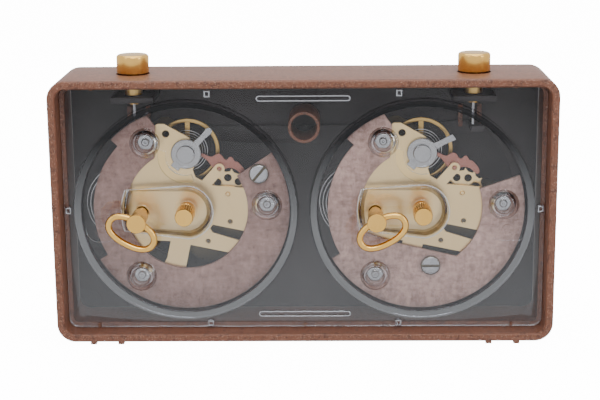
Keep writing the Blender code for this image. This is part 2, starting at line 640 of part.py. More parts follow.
def main():
    for old in list(bpy.data.objects):
        bpy.data.objects.remove(old, do_unlink=True)
    root = empty("clock", None, (0, -MID_DEPTH, FOOT_HEIGHT))
    make_case(root)
    make_panel(root)
    make_cover(root)
    make_centre_tube(root)
    make_rocker(root)
    make_buttons(root)
    for side, x in movement_places().items():
        make_movement(root, side, x)


main()
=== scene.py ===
# %% [markdown]
# The chess clock's solids come from its CAD model. They are the frame that everything here follows:
# a finer piece goes where the coarse one is, and rides on the same moving body. We keep the
# CAD's overall box, to compare with the finished model at the end.

# %% Load the frame
import math

import bpy
from mathutils import Matrix, Vector


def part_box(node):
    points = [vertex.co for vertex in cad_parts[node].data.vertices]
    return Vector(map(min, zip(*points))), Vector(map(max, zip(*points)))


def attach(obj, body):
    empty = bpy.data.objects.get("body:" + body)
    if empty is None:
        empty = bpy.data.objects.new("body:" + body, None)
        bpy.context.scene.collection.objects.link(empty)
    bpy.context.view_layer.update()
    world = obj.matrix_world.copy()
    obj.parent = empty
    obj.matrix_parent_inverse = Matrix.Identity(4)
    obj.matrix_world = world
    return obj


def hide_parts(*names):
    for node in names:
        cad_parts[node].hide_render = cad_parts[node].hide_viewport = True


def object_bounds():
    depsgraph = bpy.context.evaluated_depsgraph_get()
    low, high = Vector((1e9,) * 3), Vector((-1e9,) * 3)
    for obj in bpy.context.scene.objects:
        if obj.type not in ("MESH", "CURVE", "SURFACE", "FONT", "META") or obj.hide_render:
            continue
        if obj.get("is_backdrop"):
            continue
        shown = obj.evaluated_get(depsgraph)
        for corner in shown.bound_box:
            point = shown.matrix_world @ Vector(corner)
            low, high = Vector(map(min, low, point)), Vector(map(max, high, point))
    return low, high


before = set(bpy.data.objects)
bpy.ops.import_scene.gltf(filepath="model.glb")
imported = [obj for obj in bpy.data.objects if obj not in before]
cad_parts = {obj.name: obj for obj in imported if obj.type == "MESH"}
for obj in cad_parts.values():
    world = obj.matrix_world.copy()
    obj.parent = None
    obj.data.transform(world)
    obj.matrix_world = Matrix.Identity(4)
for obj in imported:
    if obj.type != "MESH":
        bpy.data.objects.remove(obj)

cad_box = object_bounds()

# %% [markdown]
# Clockwork is drawn in millimetres. A depth is counted from the rear rim towards the dials and a
# height from the underside of the case, so the numbers here are those a maker would read off the
# drawing. One function turns them into metres in the frame. Each movement is laid out from its
# centre arbor, which is where the setting knob is. The last names are the depths of the layers,
# from the crescent board at the back to the rocker behind the dials.

# %% Places
MM = 0.001
FOOT = 1.0
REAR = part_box("case_shell")[0][1] / MM
CASE_WIDTH = (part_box("case_shell")[1][0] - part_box("case_shell")[0][0]) / MM
CASE_DEPTH = (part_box("case_shell")[1][1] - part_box("case_shell")[0][1]) / MM
CASE_HEIGHT = (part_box("case_shell")[1][2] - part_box("case_shell")[0][2]) / MM - FOOT
SIDES = ("left", "right")


def middle(node):
    low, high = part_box(node)
    return [(a + b) / 2 / MM for a, b in zip(low, high)]


def spot(x, depth, z):
    return Vector((x, REAR + depth, z + FOOT)) * MM


AXIS = {side: (middle(f"setting_knob_{side}")[0], middle(f"setting_knob_{side}")[2] - FOOT) for side in SIDES}


def in_movement(side, place):
    """A place counted from a movement's centre arbor, as (x, z) in the case."""
    return (AXIS[side][0] + place[0], AXIS[side][1] + place[1])


KEY = (-17.3, -1.5)
THIRD = (7.6, -12.8)
FOURTH = (16.1, -5.2)
ESCAPE = (15.45, 5.6)
PALLET = (12.4, 15.3)
BALANCE = (0.1, 21.3)
NUTS = {"top": (-14.6, 26.5), "side": (30.4, 2.6), "low": (-17.4, -24.7)}
CLAMP_SCREW = {"left": (27.4, 14.0), "right": (3.6, -21.8)}
BUTTON = {side: middle(f"button_{side}")[0] for side in SIDES}
BUTTON_DEPTH = middle("button_left")[1] - REAR
BOARD_BACK, BOARD_FRONT = 13.6, 15.1
PLATE_BACK, PLATE_FRONT = 15.4, 16.6
ARBOR_BACK, ARBOR_FRONT = 15.5, 30.7
ROCKER_BACK, ROCKER_FRONT, ROCKER_PIVOT = 31.4, 32.4, 75.0
print("axes", AXIS, "buttons", BUTTON)

# %% [markdown]
# Outlines are lists of (x, z) points. Only corners are listed: every round stretch is worked out
# as an arc, so it can be as fine as we like.


# %% Outlines
def polar(radius, degrees, centre=(0.0, 0.0)):
    turn = math.radians(degrees)
    return (centre[0] + radius * math.cos(turn), centre[1] + radius * math.sin(turn))


def arc(radius, start, end, steps, centre=(0.0, 0.0)):
    return [polar(radius, start + (end - start) * i / steps, centre) for i in range(steps + 1)]


def circle(radius, steps=48, centre=(0.0, 0.0)):
    return arc(radius, 0, 360, steps, centre)[:-1]


def capsule(start, end, radius, steps=10):
    heading = math.degrees(math.atan2(end[1] - start[1], end[0] - start[0]))
    return (arc(radius, heading - 90, heading + 90, steps, end)
            + arc(radius, heading + 90, heading + 270, steps, start))


def rounded_rectangle(inset, corner=6.9, steps=12):
    half_x, half_z = CASE_WIDTH / 2 - inset, CASE_HEIGHT / 2 - inset
    radius = max(corner - inset, 1.2)
    points = []
    for quarter, (sx, sz) in enumerate(((1, 1), (-1, 1), (-1, -1), (1, -1))):
        centre = (sx * (half_x - radius), CASE_HEIGHT / 2 + sz * (half_z - radius))
        points += arc(radius, 90 * quarter, 90 * quarter + 90, steps, centre)
    return points


# %% [markdown]
# Most parts of a clock are stamped from sheet or turned on a lathe, and we do the same. A stamped
# part starts as circles of vertices that are laid along its outline and its holes, is filled, and
# is pulled to its thickness. A turned part starts as one loop of vertices laid along half of its
# section, and is spun round its axis. A spring is an open line of vertices, pulled into a
# strip and given its thickness by a Solidify modifier.


# %% Modelling helpers
def deselect():
    bpy.ops.object.select_all(action="DESELECT")


def loop_of(points):
    """A closed loop of vertices, one for each point in metres."""
    deselect()
    bpy.ops.mesh.primitive_circle_add(vertices=len(points), radius=1.0, fill_type="NOTHING")
    loop = bpy.context.object
    for vertex, point in zip(loop.data.vertices, points):
        vertex.co = point
    return loop


def join(pieces):
    deselect()
    for piece in pieces:
        piece.select_set(True)
    bpy.context.view_layer.objects.active = pieces[0]
    if len(pieces) > 1:
        bpy.ops.object.join()
    return bpy.context.object


def edit(piece):
    deselect()
    piece.select_set(True)
    bpy.context.view_layer.objects.active = piece
    bpy.ops.object.mode_set(mode="EDIT")
    bpy.ops.mesh.select_all(action="SELECT")


def close_up(threshold=1e-6):
    """Merge doubles, drop loose bits, turn the faces outwards and leave edit mode."""
    bpy.ops.mesh.select_all(action="SELECT")
    bpy.ops.mesh.remove_doubles(threshold=threshold)
    bpy.ops.mesh.delete_loose(use_verts=True, use_edges=True, use_faces=False)
    bpy.ops.mesh.select_all(action="SELECT")
    bpy.ops.mesh.normals_make_consistent(inside=False)
    bpy.ops.object.mode_set(mode="OBJECT")


def apply(piece, modifier):
    deselect()
    piece.select_set(True)
    bpy.context.view_layer.objects.active = piece
    bpy.ops.object.modifier_apply(modifier=modifier.name)


def ease(piece, width, segments=2, angle=40):
    """Break the sharp edges, as tumbling or a mould's corner does."""
    step = piece.modifiers.new("Ease", "BEVEL")
    step.width = width * MM
    step.segments = segments
    step.limit_method = "ANGLE"
    step.angle_limit = math.radians(angle)
    step.use_clamp_overlap = True
    apply(piece, step)
    return piece


def combine(piece, others, operation):
    """Join to a piece, or cut from it, a list of closed solids, which are used up."""
    group = bpy.data.collections.new("Others")
    for other in others:
        group.objects.link(other)
    step = piece.modifiers.new("Combine", "BOOLEAN")
    step.operation = operation
    step.operand_type = "COLLECTION"
    step.collection = group
    step.solver = "EXACT"
    apply(piece, step)
    for other in others:
        bpy.data.objects.remove(other, do_unlink=True)
    bpy.data.collections.remove(group)
    return piece


def flat(outline, back, front, holes=(), at=(0.0, 0.0), ease_width=0.0):
    """A stamped part between two depths, its outline counted from the place at."""
    loops = [loop_of(ring_at(ring, back, at)) for ring in (outline, *holes)]
    part = join(loops)
    edit(part)
    bpy.ops.mesh.fill(use_beauty=True)
    bpy.ops.mesh.extrude_region_move(TRANSFORM_OT_translate={"value": (0, (front - back) * MM, 0)})
    close_up(1e-7)
    return ease(part, ease_width) if ease_width else part


def lofted(rings, closed=False):
    """A skin through rings of places in metres, its ends capped, or joined when closed."""
    part = loop_of(rings[0])
    edit(part)
    if not closed:
        bpy.ops.mesh.edge_face_add()
    for old, new in zip(rings, rings[1:] + (rings[:1] if closed else [])):
        bpy.ops.mesh.extrude_region_move()
        bpy.ops.object.mode_set(mode="OBJECT")
        for vertex in part.data.vertices:
            if vertex.select:
                nearest = min(range(len(old)), key=lambda i: (old[i] - vertex.co).length_squared)
                vertex.co = new[nearest]
        bpy.ops.object.mode_set(mode="EDIT")
    close_up()
    return part


def ring_at(outline, depth, at=(0.0, 0.0)):
    return [spot(at[0] + x, depth, at[1] + z) for x, z in outline]


def turned(profile, at, steps=64, upright=False):
    """A turned part: profile lists (radius, depth), or (radius, height) when upright."""
    if upright:
        points = [spot(at[0] + r, at[1], t) for r, t in profile]
        centre, axis = spot(at[0], at[1], 0), (0, 0, 1)
    else:
        points = [spot(at[0] + r, t, at[1]) for r, t in profile]
        centre, axis = spot(at[0], 0, at[1]), (0, 1, 0)
    part = loop_of(points)
    edit(part)
    bpy.ops.mesh.spin(steps=steps, angle=2 * math.pi, center=centre, axis=axis)
    close_up()
    return part


def strip(path, back, front, thick, at=(0.0, 0.0)):
    """A spring strip standing on edge along an open path."""
    part = loop_of(ring_at(path, back, at))
    ends = {0, len(path) - 1}
    edit(part)
    bpy.ops.mesh.select_mode(type="EDGE")
    bpy.ops.mesh.select_all(action="DESELECT")
    bpy.ops.object.mode_set(mode="OBJECT")
    for edge in part.data.edges:
        edge.select = set(edge.vertices) == ends
    bpy.ops.object.mode_set(mode="EDIT")
    bpy.ops.mesh.delete(type="EDGE_FACE")
    bpy.ops.mesh.select_all(action="SELECT")
    bpy.ops.mesh.extrude_region_move(TRANSFORM_OT_translate={"value": (0, (front - back) * MM, 0)})
    bpy.ops.mesh.select_mode(type="VERT")
    close_up(1e-7)
    wall = part.modifiers.new("Wall", "SOLIDIFY")
    wall.thickness = thick * MM
    wall.offset = 0
    apply(part, wall)
    return part


def block(low, high, ease_width=0.0):
    """A rectangular solid between two corners given as (x, depth, z)."""
    deselect()
    start, end = spot(*low), spot(*high)
    bpy.ops.mesh.primitive_cube_add(size=1.0, location=(start + end) / 2)
    part = bpy.context.object
    part.scale = end - start
    bpy.ops.object.transform_apply(location=True, rotation=True, scale=True)
    return ease(part, ease_width) if ease_width else part


def turn(part, degrees, at):
    """Turn a part's mesh about the line along the depth through a place in metres."""
    about = Matrix.Translation(at)
    turning = Matrix.Rotation(math.radians(degrees), 4, Vector((0, 1, 0)))
    part.data.transform(about @ turning @ about.inverted())
    return part


def finish(part, name, material, body, stands_for=(), angle=35):
    """Name the part, shade it, give it its finish and let it ride on a body."""
    part.name = name
    part.data.name = name
    deselect()
    part.select_set(True)
    bpy.context.view_layer.objects.active = part
    bpy.ops.object.shade_smooth_by_angle(angle=math.radians(angle))
    part.data.materials.clear()
    part.data.materials.append(material)
    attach(part, body)
    if stands_for:
        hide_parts(*stands_for)
    print("made", name, len(part.data.polygons), "faces")
    return part


# %% [markdown]
# The finishes are node materials. A small class wraps a socket so that shader maths reads like
# ordinary arithmetic, and one method adds any other node from its settings and its values.


# %% Shader helpers
class Value:
    """A number or colour in a material's node tree; arithmetic on it adds Math nodes."""

    def __init__(self, tree, socket):
        self.tree = tree
        self.socket = socket

    def math(self, operation, *values):
        node = self.tree.nodes.new("ShaderNodeMath")
        node.operation = operation
        for place, value in zip(node.inputs, values):
            feed(self.tree, place, value)
        return Value(self.tree, node.outputs[0])

    def __add__(self, other):
        return self.math("ADD", self, other)

    def __mul__(self, other):
        return self.math("MULTIPLY", self, other)

    __radd__ = __add__
    __rmul__ = __mul__


def feed(tree, place, value):
    if isinstance(value, Value):
        tree.links.new(value.socket, place)
    else:
        place.default_value = value


class Finish:
    """A material under construction, with Object coordinates at hand."""

    def __init__(self, name):
        self.material = bpy.data.materials.new(name)
        self.material.use_nodes = True
        self.tree = self.material.node_tree
        self.tree.nodes.clear()
        self.output = self.tree.nodes.new("ShaderNodeOutputMaterial")
        self.place = self.node("ShaderNodeTexCoord", output="Object")

    def node(self, kind, settings=None, values=None, output=0):
        node = self.tree.nodes.new(kind)
        for name, setting in (settings or {}).items():
            if name == "stops":
                for number, (position, shade) in enumerate(setting):
                    if number > 1:
                        node.color_ramp.elements.new(position)
                    node.color_ramp.elements[number].position = position
                    node.color_ramp.elements[number].color = (*shade, 1.0)
            else:
                setattr(node, name, setting)
        for name, value in (values or {}).items():
            feed(self.tree, node.inputs[name], value)
        return Value(self.tree, node.outputs[output])

    def noise(self, scale, detail=3.0, roughness=0.5, stretch=(1, 1, 1)):
        where = self.node("ShaderNodeMapping", {}, {"Vector": self.place, "Scale": stretch})
        return self.node("ShaderNodeTexNoise", {},
                         {"Vector": where, "Scale": scale, "Detail": detail, "Roughness": roughness})

    def ramp(self, value, *stops):
        return self.node("ShaderNodeValToRGB", {"stops": stops}, {"Fac": value})

    def mix(self, factor, one, two):
        inputs = {0: factor, 6: one if isinstance(one, Value) else (*one, 1.0),
                  7: two if isinstance(two, Value) else (*two, 1.0)}
        return self.node("ShaderNodeMix", {"data_type": "RGBA"}, inputs, output=2)

    def bump(self, height, strength, distance):
        return self.node("ShaderNodeBump", {}, {"Height": height, "Strength": strength, "Distance": distance})

    def surface(self, **sockets):
        names = {key.replace("_", " ").title().replace("Ior", "IOR"): value for key, value in sockets.items()}
        shader = self.node("ShaderNodeBsdfPrincipled", {}, names)
        self.tree.links.new(shader.socket, self.output.inputs["Surface"])
        return self.material


# %% [markdown]
# The case is moulded brown plastic with a leathery mottle: fine dark and light grains with a few
# pale specks, under a satin skin that mirrors the room softly on top. The grain comes from two
# noises of different sizes and the specks from the peaks of a third.


# %% Plastic finishes
def case_plastic():
    look = Finish("case_plastic_mottled")
    grain = look.noise(1500, 4.0, 0.65)
    patch = look.noise(480, 3.0, 0.6)
    specks = look.ramp(look.noise(3000, 1.0, 0.4), (0.60, (0, 0, 0)), (0.72, (1, 1, 1)))
    base = look.ramp(grain * 0.45 + patch * 0.55, (0.42, (0.075, 0.022, 0.010)), (0.58, (0.27, 0.105, 0.056)),
                     (0.50, (0.145, 0.048, 0.023)))
    colour = look.mix(specks * 0.7, base, (0.46, 0.26, 0.18))
    relief = look.bump(grain + patch, 0.35, 0.00012)
    return look.surface(base_color=colour, roughness=0.36 + grain * 0.16, normal=relief)


def panel_plastic():
    look = Finish("panel_plastic_satin")
    cloud = look.noise(35, 3.0, 0.6)
    grain = look.noise(1800, 2.0, 0.5)
    colour = look.ramp(cloud, (0.3, (0.020, 0.0155, 0.0168)), (0.7, (0.040, 0.0325, 0.035)))
    relief = look.bump(grain, 0.15, 0.00008)
    return look.surface(base_color=colour, roughness=0.42 + cloud * 0.15, normal=relief)


def clear_plastic(name, tint, gloss, least, painted_fade=None):
    """Clear plastic: tinted see-through, and a mirror whose share grows at grazing angles.

    Given two heights in mm, the least share dies out from the lower to the upper one, a painted reflection
    that is stronger low down than high up."""
    look = Finish(name)
    through = look.node("ShaderNodeBsdfTransparent", {}, {"Color": (*tint, 1.0)})
    ripple = look.bump(look.noise(60, 2.0, 0.5), 0.02, 0.0004)
    mirror = look.node("ShaderNodeBsdfPrincipled", {}, {"Base Color": (0.93, 0.96, 1.0, 1.0),
                       "Roughness": 0.06, "Metallic": 1.0, "Normal": ripple})
    if painted_fade:
        height = look.node("ShaderNodeSeparateXYZ", {}, {0: look.place}, output=2)
        low, high = ((z + FOOT) * MM for z in painted_fade)
        least = look.node("ShaderNodeMapRange", {}, {"Value": height, "From Min": low, "From Max": high,
                          "To Min": least, "To Max": 0.0})
    grazing = look.node("ShaderNodeFresnel", {}, {"IOR": 1.49})
    shader = look.node("ShaderNodeMixShader", {}, {"Fac": grazing * gloss + least, 1: through, 2: mirror})
    look.tree.links.new(shader.socket, look.output.inputs["Surface"])
    return look.material


# %% [markdown]
# The metals: soft gold lacquer on the key, knob and buttons, pale stamped brass on the back plate
# and escape wheel, a very dark brass, painted shade, on what lies deeper and inside slots and
# grooves, bluish zinc on the nuts and screws, turned bright metal on the regulator, a salmon-coloured
# alloy on the pallet lever, and plain steel on the springs. Each has faint marks of how it was made.


# %% Metal finishes
def metal(name, dark, light, roughness, stretch):
    """A metal with fine lines along the axes where stretch is small."""
    look = Finish(name)
    lines = look.noise(900, 3.0, 0.6, stretch)
    cloud = look.noise(45, 2.0, 0.5)
    colour = look.mix(cloud * 0.7 + lines * 0.3, dark, light)
    return look.surface(base_color=colour, metallic=1.0, roughness=lines * 0.12 + (roughness - 0.06),
                        normal=look.bump(lines, 0.08, 0.00004))


def turned_metal(name, dark, light, roughness, centre):
    """Bright metal with the fine rings that a facing cut leaves round a centre."""
    look = Finish(name)
    where = look.node("ShaderNodeMapping", {"vector_type": "POINT"},
                      {"Vector": look.place, "Location": tuple(-c for c in centre)})
    rings = look.node("ShaderNodeTexWave", {"wave_type": "RINGS", "rings_direction": "Y"},
                      {"Vector": where, "Scale": 1400.0, "Distortion": 0.4, "Detail": 1.0})
    colour = look.mix(rings, dark, light)
    relief = look.bump(rings, 0.25, 0.00003)
    return look.surface(base_color=colour, metallic=1.0, roughness=roughness, normal=relief)


# %% [markdown]
# The crescent is pressed fibre board: dusty brown, matt, with short fibres lying all ways. The dial
# is satin white paint, and the hands and flag are smooth enamel.


# %% Board and paint finishes
def fibre_board(name, dark, light):
    look = Finish(name)
    fibres = look.noise(700, 5.0, 0.7, (1.0, 1.0, 0.45))
    across = look.noise(600, 4.0, 0.7, (0.4, 1.0, 1.0))
    cloud = look.noise(90, 3.0, 0.6)
    shade = look.ramp(fibres * 0.4 + across * 0.35 + cloud * 0.25, (0.38, dark), (0.62, light))
    relief = look.bump(fibres + across, 0.3, 0.0001)
    return look.surface(base_color=shade, roughness=0.62 + fibres * 0.2, normal=relief)


def paint(name, colour, roughness):
    look = Finish(name)
    grain = look.noise(1500, 2.0, 0.5)
    cloud = look.noise(60, 2.0, 0.5)
    shade = look.mix(cloud, colour, tuple(c * 0.88 for c in colour))
    relief = look.bump(grain, 0.06, 0.00003)
    return look.surface(base_color=shade, roughness=roughness + grain * 0.08, normal=relief)


CASE = case_plastic()
PANEL = panel_plastic()
# The cover's main finish mirrors a little more low down than high up: painted reflection.
CLEAR = clear_plastic("cover_clear_moulding", (0.96, 0.96, 0.965), 0.28, 0.055, (-5, 92))
# Steep faces get a copy with a darker tint and a stronger mirror: painted shade and painted reflection.
CLEAR_WALL = clear_plastic("cover_clear_wall_painted_shade_and_reflection", (0.55, 0.52, 0.49), 1.0, 0.08)
# The conical rims get a dark copy whose mirror fades out towards the top: painted shade, and painted
# reflection low down.
CLEAR_RIM = clear_plastic("cover_clear_rim_painted_shade_and_reflection", (0.25, 0.24, 0.26), 0.6, 0.17, (42, 76))
# Lips, grip bars and catches get a strongly mirroring copy: painted highlight.
CLEAR_EDGE = clear_plastic("cover_clear_edge_painted_highlight", (0.8, 0.8, 0.82), 0.9, 0.3)
LENS = clear_plastic("lens_clear_moulding", (0.98, 0.98, 0.99), 0.7, 0.0)
GOLD = metal("gold_lacquer", (0.72, 0.39, 0.08), (0.93, 0.60, 0.19), 0.24, (1, 1, 0.15))
BRASS = metal("brass_stamped", (0.78, 0.56, 0.26), (0.96, 0.76, 0.43), 0.3, (1, 1, 0.08))
RICH_BRASS = metal("brass_turned", (0.5, 0.32, 0.10), (0.7, 0.48, 0.19), 0.3, (1, 1, 1))
# A very dark brass for the front plate, the deep wheels, the screw slots and the knob grooves: painted shade.
SHADED_BRASS = metal("brass_painted_shade", (0.10, 0.08, 0.05), (0.17, 0.14, 0.09), 0.5, (1, 1, 0.1))
ZINC = metal("zinc_plate", (0.24, 0.25, 0.27), (0.62, 0.63, 0.66), 0.24, (1, 1, 1))
STEEL = metal("spring_steel", (0.55, 0.55, 0.57), (0.75, 0.75, 0.77), 0.3, (1, 0.1, 1))
COPPER = metal("lever_alloy", (0.30, 0.115, 0.09), (0.50, 0.25, 0.205), 0.42, (1, 1, 0.3))
# The right crescent gets a paler copy of the board finish: painted light.
BOARD = {"left": fibre_board("fibre_board_dark", (0.17, 0.085, 0.068), (0.42, 0.255, 0.22)),
         "right": fibre_board("fibre_board_painted_light", (0.25, 0.135, 0.11), (0.66, 0.44, 0.39))}
IVORY = paint("dial_white", (0.83, 0.81, 0.75), 0.4)
BLACK = paint("hand_black", (0.012, 0.012, 0.013), 0.3)
RED = paint("flag_red", (0.55, 0.025, 0.018), 0.3)
print("finishes", len(bpy.data.materials))

# %% [markdown]
# The case is one moulding, open at both ends. Its section is drawn once, as stations of an inset
# and a depth, and a ring of vertices is extruded from station to station and back to the first, so
# that the rounded rims, the walls and the ledge for the cover come out as one closed skin.

# %% Case
WALL = 3.0
RIM = 0.9
LEDGE = 1.7
LEDGE_BACK, LEDGE_FRONT = 10.0, 11.6
RIM_STEPS = 5
BUTTON_HOLE = 6.3
FOOT_PLACES = (-79.5, -69.1, 69.1, 79.5)
FOOT_INSET = 2.6


def make_case():
    rear_rim = arc(RIM, 270, 180, RIM_STEPS, (RIM, RIM))
    front_rim = arc(RIM, 180, 90, RIM_STEPS, (RIM, CASE_DEPTH - RIM))
    section = rear_rim + front_rim + [
        (WALL - 0.4, CASE_DEPTH), (WALL, CASE_DEPTH - 0.4), (WALL, 12.2), (WALL + LEDGE, LEDGE_FRONT),
        (WALL + LEDGE, LEDGE_BACK), (WALL, LEDGE_BACK), (WALL, 0.5), (WALL - 0.4, 0.0)]
    case = lofted([ring_at(rounded_rectangle(inset), depth) for inset, depth in section], closed=True)
    hole = [(0, 104), (BUTTON_HOLE, 104), (BUTTON_HOLE, 90), (0, 90)]
    holes = [turned(hole, (x, BUTTON_DEPTH), upright=True) for x in BUTTON.values()]
    combine(case, holes, "DIFFERENCE")
    feet = [block((x - 1.1, depth - 2, -FOOT), (x + 1.1, depth + 2, 0.6))
            for x in FOOT_PLACES for depth in (FOOT_INSET, CASE_DEPTH - FOOT_INSET)]
    ribs = [block((x - 0.5, 8.3, 2.8), (x + 0.5, 11.0, 4.9)) for x in (-78.3, 0.2, 78.3)]
    ribs += [block((x - 0.45, 8.3, 94.4), (x + 0.45, 11.0, 96.4)) for x in (-78.0, 78.0)]
    combine(case, feet + ribs, "UNION")
    return finish(case, "case_moulding", CASE, "case", ["case_shell"])


make_case()

# %% [markdown]
# The front panel closes the dial side. Seen from behind it is the dark wall round the movements,
# with two windows, two shelves that the button bushings stand on, and the faint rings that the
# mould's ejector pins leave. The windows have stepped rings in front, which hold the lenses.

# %% Front panel
PANEL_BACK, PANEL_FRONT = 33.7, 35.9
WINDOW = 33.6
SHELF_LOW, SHELF_HIGH = 88.8, 91.1
STEM_HOLE = 2.8
PIN_MARKS = ((-86, 82), (86, 82), (-0.2, 8), (-85, 6.5), (85, 6.5), (-20, 8), (20, 88))


def make_panel():
    windows = [circle(WINDOW, 96, AXIS[side]) for side in SIDES]
    panel = flat(rounded_rectangle(WALL + 0.3), PANEL_BACK, PANEL_FRONT, windows)
    adds, cuts = [], []
    for side in SIDES:
        hoop = [(WINDOW, 35.5), (WINDOW, 37.2), (33.9, 37.6), (35.4, 37.6), (36.2, 37.2), (36.6, 36.3),
                (36.6, 35.5)]
        adds.append(turned(hoop, AXIS[side], 96))
        x = BUTTON[side]
        adds.append(block((x - 8, 12.5, SHELF_LOW), (x + 8, PANEL_BACK + 0.4, SHELF_HIGH), 0.3))
        above, below = SHELF_HIGH + 2, SHELF_LOW - 2
        hole = [(0, above), (STEM_HOLE, above), (STEM_HOLE, below), (0, below)]
        cuts.append(turned(hole, (x, BUTTON_DEPTH), 48, upright=True))
    deep, proud = PANEL_BACK + 0.3, PANEL_BACK - 0.15
    for place in PIN_MARKS:
        adds.append(turned([(3.4, deep), (3.4, proud), (3.1, proud), (3.1, deep)], place, 48))
    adds.append(turned([(0, 32.9), (1.6, 32.9), (1.6, 35), (0, 35)], (0, ROCKER_PIVOT), 32))
    combine(panel, adds, "UNION")
    combine(panel, cuts, "DIFFERENCE")
    return finish(panel, "front_panel_moulding", PANEL, "case", ["front_panel"])


def make_centre_tube():
    at = (middle("centre_tube")[0], middle("centre_tube")[2] - FOOT)
    section = [(6.0, 12.9), (5.8, 12.5), (5.0, 12.5), (4.8, 12.7), (4.8, 31.0), (6.0, 31.0)]
    return finish(turned(section, at), "centre_tube_turned", CASE, "case", ["centre_tube"])


make_panel()
make_centre_tube()

# %% [markdown]
# The rear cover is one clear moulding. Each movement sits behind a shallow bowl with a conical rim.
# The bowl has a domed blister over each nut, a stadium-shaped pocket for the key and the knob, and
# an arc-shaped slot through which a finger or a screwdriver reaches the regulator. All bodies are
# made as closed solids first, joined in one Boolean, and hollowed by a second. Steep faces get a
# copy of the clear finish with a darker tint and a stronger mirror, painted shade and painted
# reflection, and the conical rims a dark copy that mirrors less towards the top, painted shade and
# painted reflection. The lips, grip bars and catches are a piece of their own, in a strongly
# mirroring finish that is a painted highlight.

# %% Rear cover
COVER_BACK, COVER_FRONT = 8.0, 9.6
BOWL_BACK, BOWL_FRONT = 9.3, 10.8
POCKET_FLOOR = 11.5
RIM_OUT, RIM_IN = 41.7, 39.4
BOWL_RADIUS = 42.2
BOWL_RISE = 0.3
BLISTER_WALL = 1.15
SLOT_BACK, SLOT_FRONT = 7.0, 13.0
CATCHES = ((-35.2, 93.2), (35.2, 93.2), (-35.5, 5.2), (35.5, 5.2), (-88.0, 49.4), (88.0, 49.4))


def pocket_outline(inset):
    half, key_end, tilt = 10.2 - inset, 24.2 - inset, 5.0
    return arc(half, tilt - 90, tilt + 90, 28) + arc(key_end, 159, 197, 12)


def pocket(stations, at):
    return lofted([ring_at(pocket_outline(inset), depth, at) for inset, depth in stations])


def bowl(at):
    section = [(BOWL_RADIUS, COVER_BACK), (RIM_OUT, COVER_BACK), (RIM_IN, BOWL_BACK), (0, BOWL_BACK),
               (0, BOWL_FRONT), (39.2, BOWL_FRONT), (40.2, 12.6), (BOWL_RADIUS, 12.6)]
    return turned(section, at, 128)


def blister(at, rise):
    """A domed cup, rise 0 for its outside and the wall's thickness for its inside."""
    dome = [(0, 5.2), (2.4, 5.25), (3.6, 5.6), (4.5, 6.3), (5.0, 7.3), (5.4, 8.6), (5.7, 9.1), (6.3, 9.35)]
    section = [(max(r - rise * 0.9, 0), d + rise) for r, d in dome]
    return turned(section + [(section[-1][0], 10.3 + rise), (0, 10.3 + rise)], at, 48)


def make_cover():
    bowl_at = {side: in_movement(side, (0, BOWL_RISE)) for side in SIDES}
    openings = [circle(BOWL_RADIUS - 0.25, 128, bowl_at[side]) for side in SIDES]
    cover = flat(rounded_rectangle(WALL + 0.35), COVER_BACK, COVER_FRONT, openings)
    adds, cuts = [], []
    for side in SIDES:
        at = AXIS[side]
        adds.append(bowl(bowl_at[side]))
        adds.append(pocket([(0.0, BOWL_BACK + 0.3), (0.0, 10.6), (1.4, 12.6)], at))
        cuts.append(pocket([(0.9, 7.0), (0.9, 9.6), (2.6, POCKET_FLOOR)], at))
        for place in (KEY, (0.0, 0.0)):
            hole_at = in_movement(side, place)
            adds.append(turned([(0, 10.6), (4.7, 10.6), (5.3, 11.0), (5.5, 11.9), (0, 11.9)], hole_at, 64))
            cuts.append(turned([(0, 14), (3.75, 14), (3.75, 10.9), (4.2, 10.4), (0, 10.4)], hole_at, 64))
        for place in NUTS.values():
            adds.append(blister(in_movement(side, place), 0.0))
            cuts.append(blister(in_movement(side, place), BLISTER_WALL))
        slot = arc(10.1, 165, 288, 36) + arc(7.3, 288, 165, 36)
        cuts.append(flat(slot, SLOT_BACK, SLOT_FRONT, at=in_movement(side, BALANCE)))
        out, corners, reach = (-32.0, 6, 1.5) if side == "left" else (32.0, 40, 4.0)
        boss_at = in_movement(side, (out, -7.3))
        adds.append(flat(circle(2.3, corners), 8.6, 9.6, at=boss_at))
        adds.append(flat(capsule((-1.5, 0), (reach, 0), 4.5, 16), 10.6, 11.4, at=boss_at))
    combine(cover, adds, "UNION")
    combine(cover, cuts, "DIFFERENCE")
    ease(cover, 0.12, 2, 30)
    cover = finish(cover, "rear_cover_moulding", CLEAR, "case", ["rear_cover"], 30)
    cover.data.materials.append(CLEAR_WALL)
    cover.data.materials.append(CLEAR_RIM)
    # Steep faces take the darker, more mirroring copy, and the rims' cones the dark copy that mirrors less
    # towards the top: painted shade and painted reflection.
    centres = [spot(x, 0, z) for x, z in bowl_at.values()]
    for face in cover.data.polygons:
        reach = min(math.hypot(face.center.x - c.x, face.center.z - c.z) for c in centres) / MM
        if RIM_IN - 0.1 < reach < BOWL_RADIUS + 0.1:
            face.material_index = 2 if abs(face.normal.y) < 0.97 else 0
        elif abs(face.normal.y) < 0.75:
            face.material_index = 1
    return cover


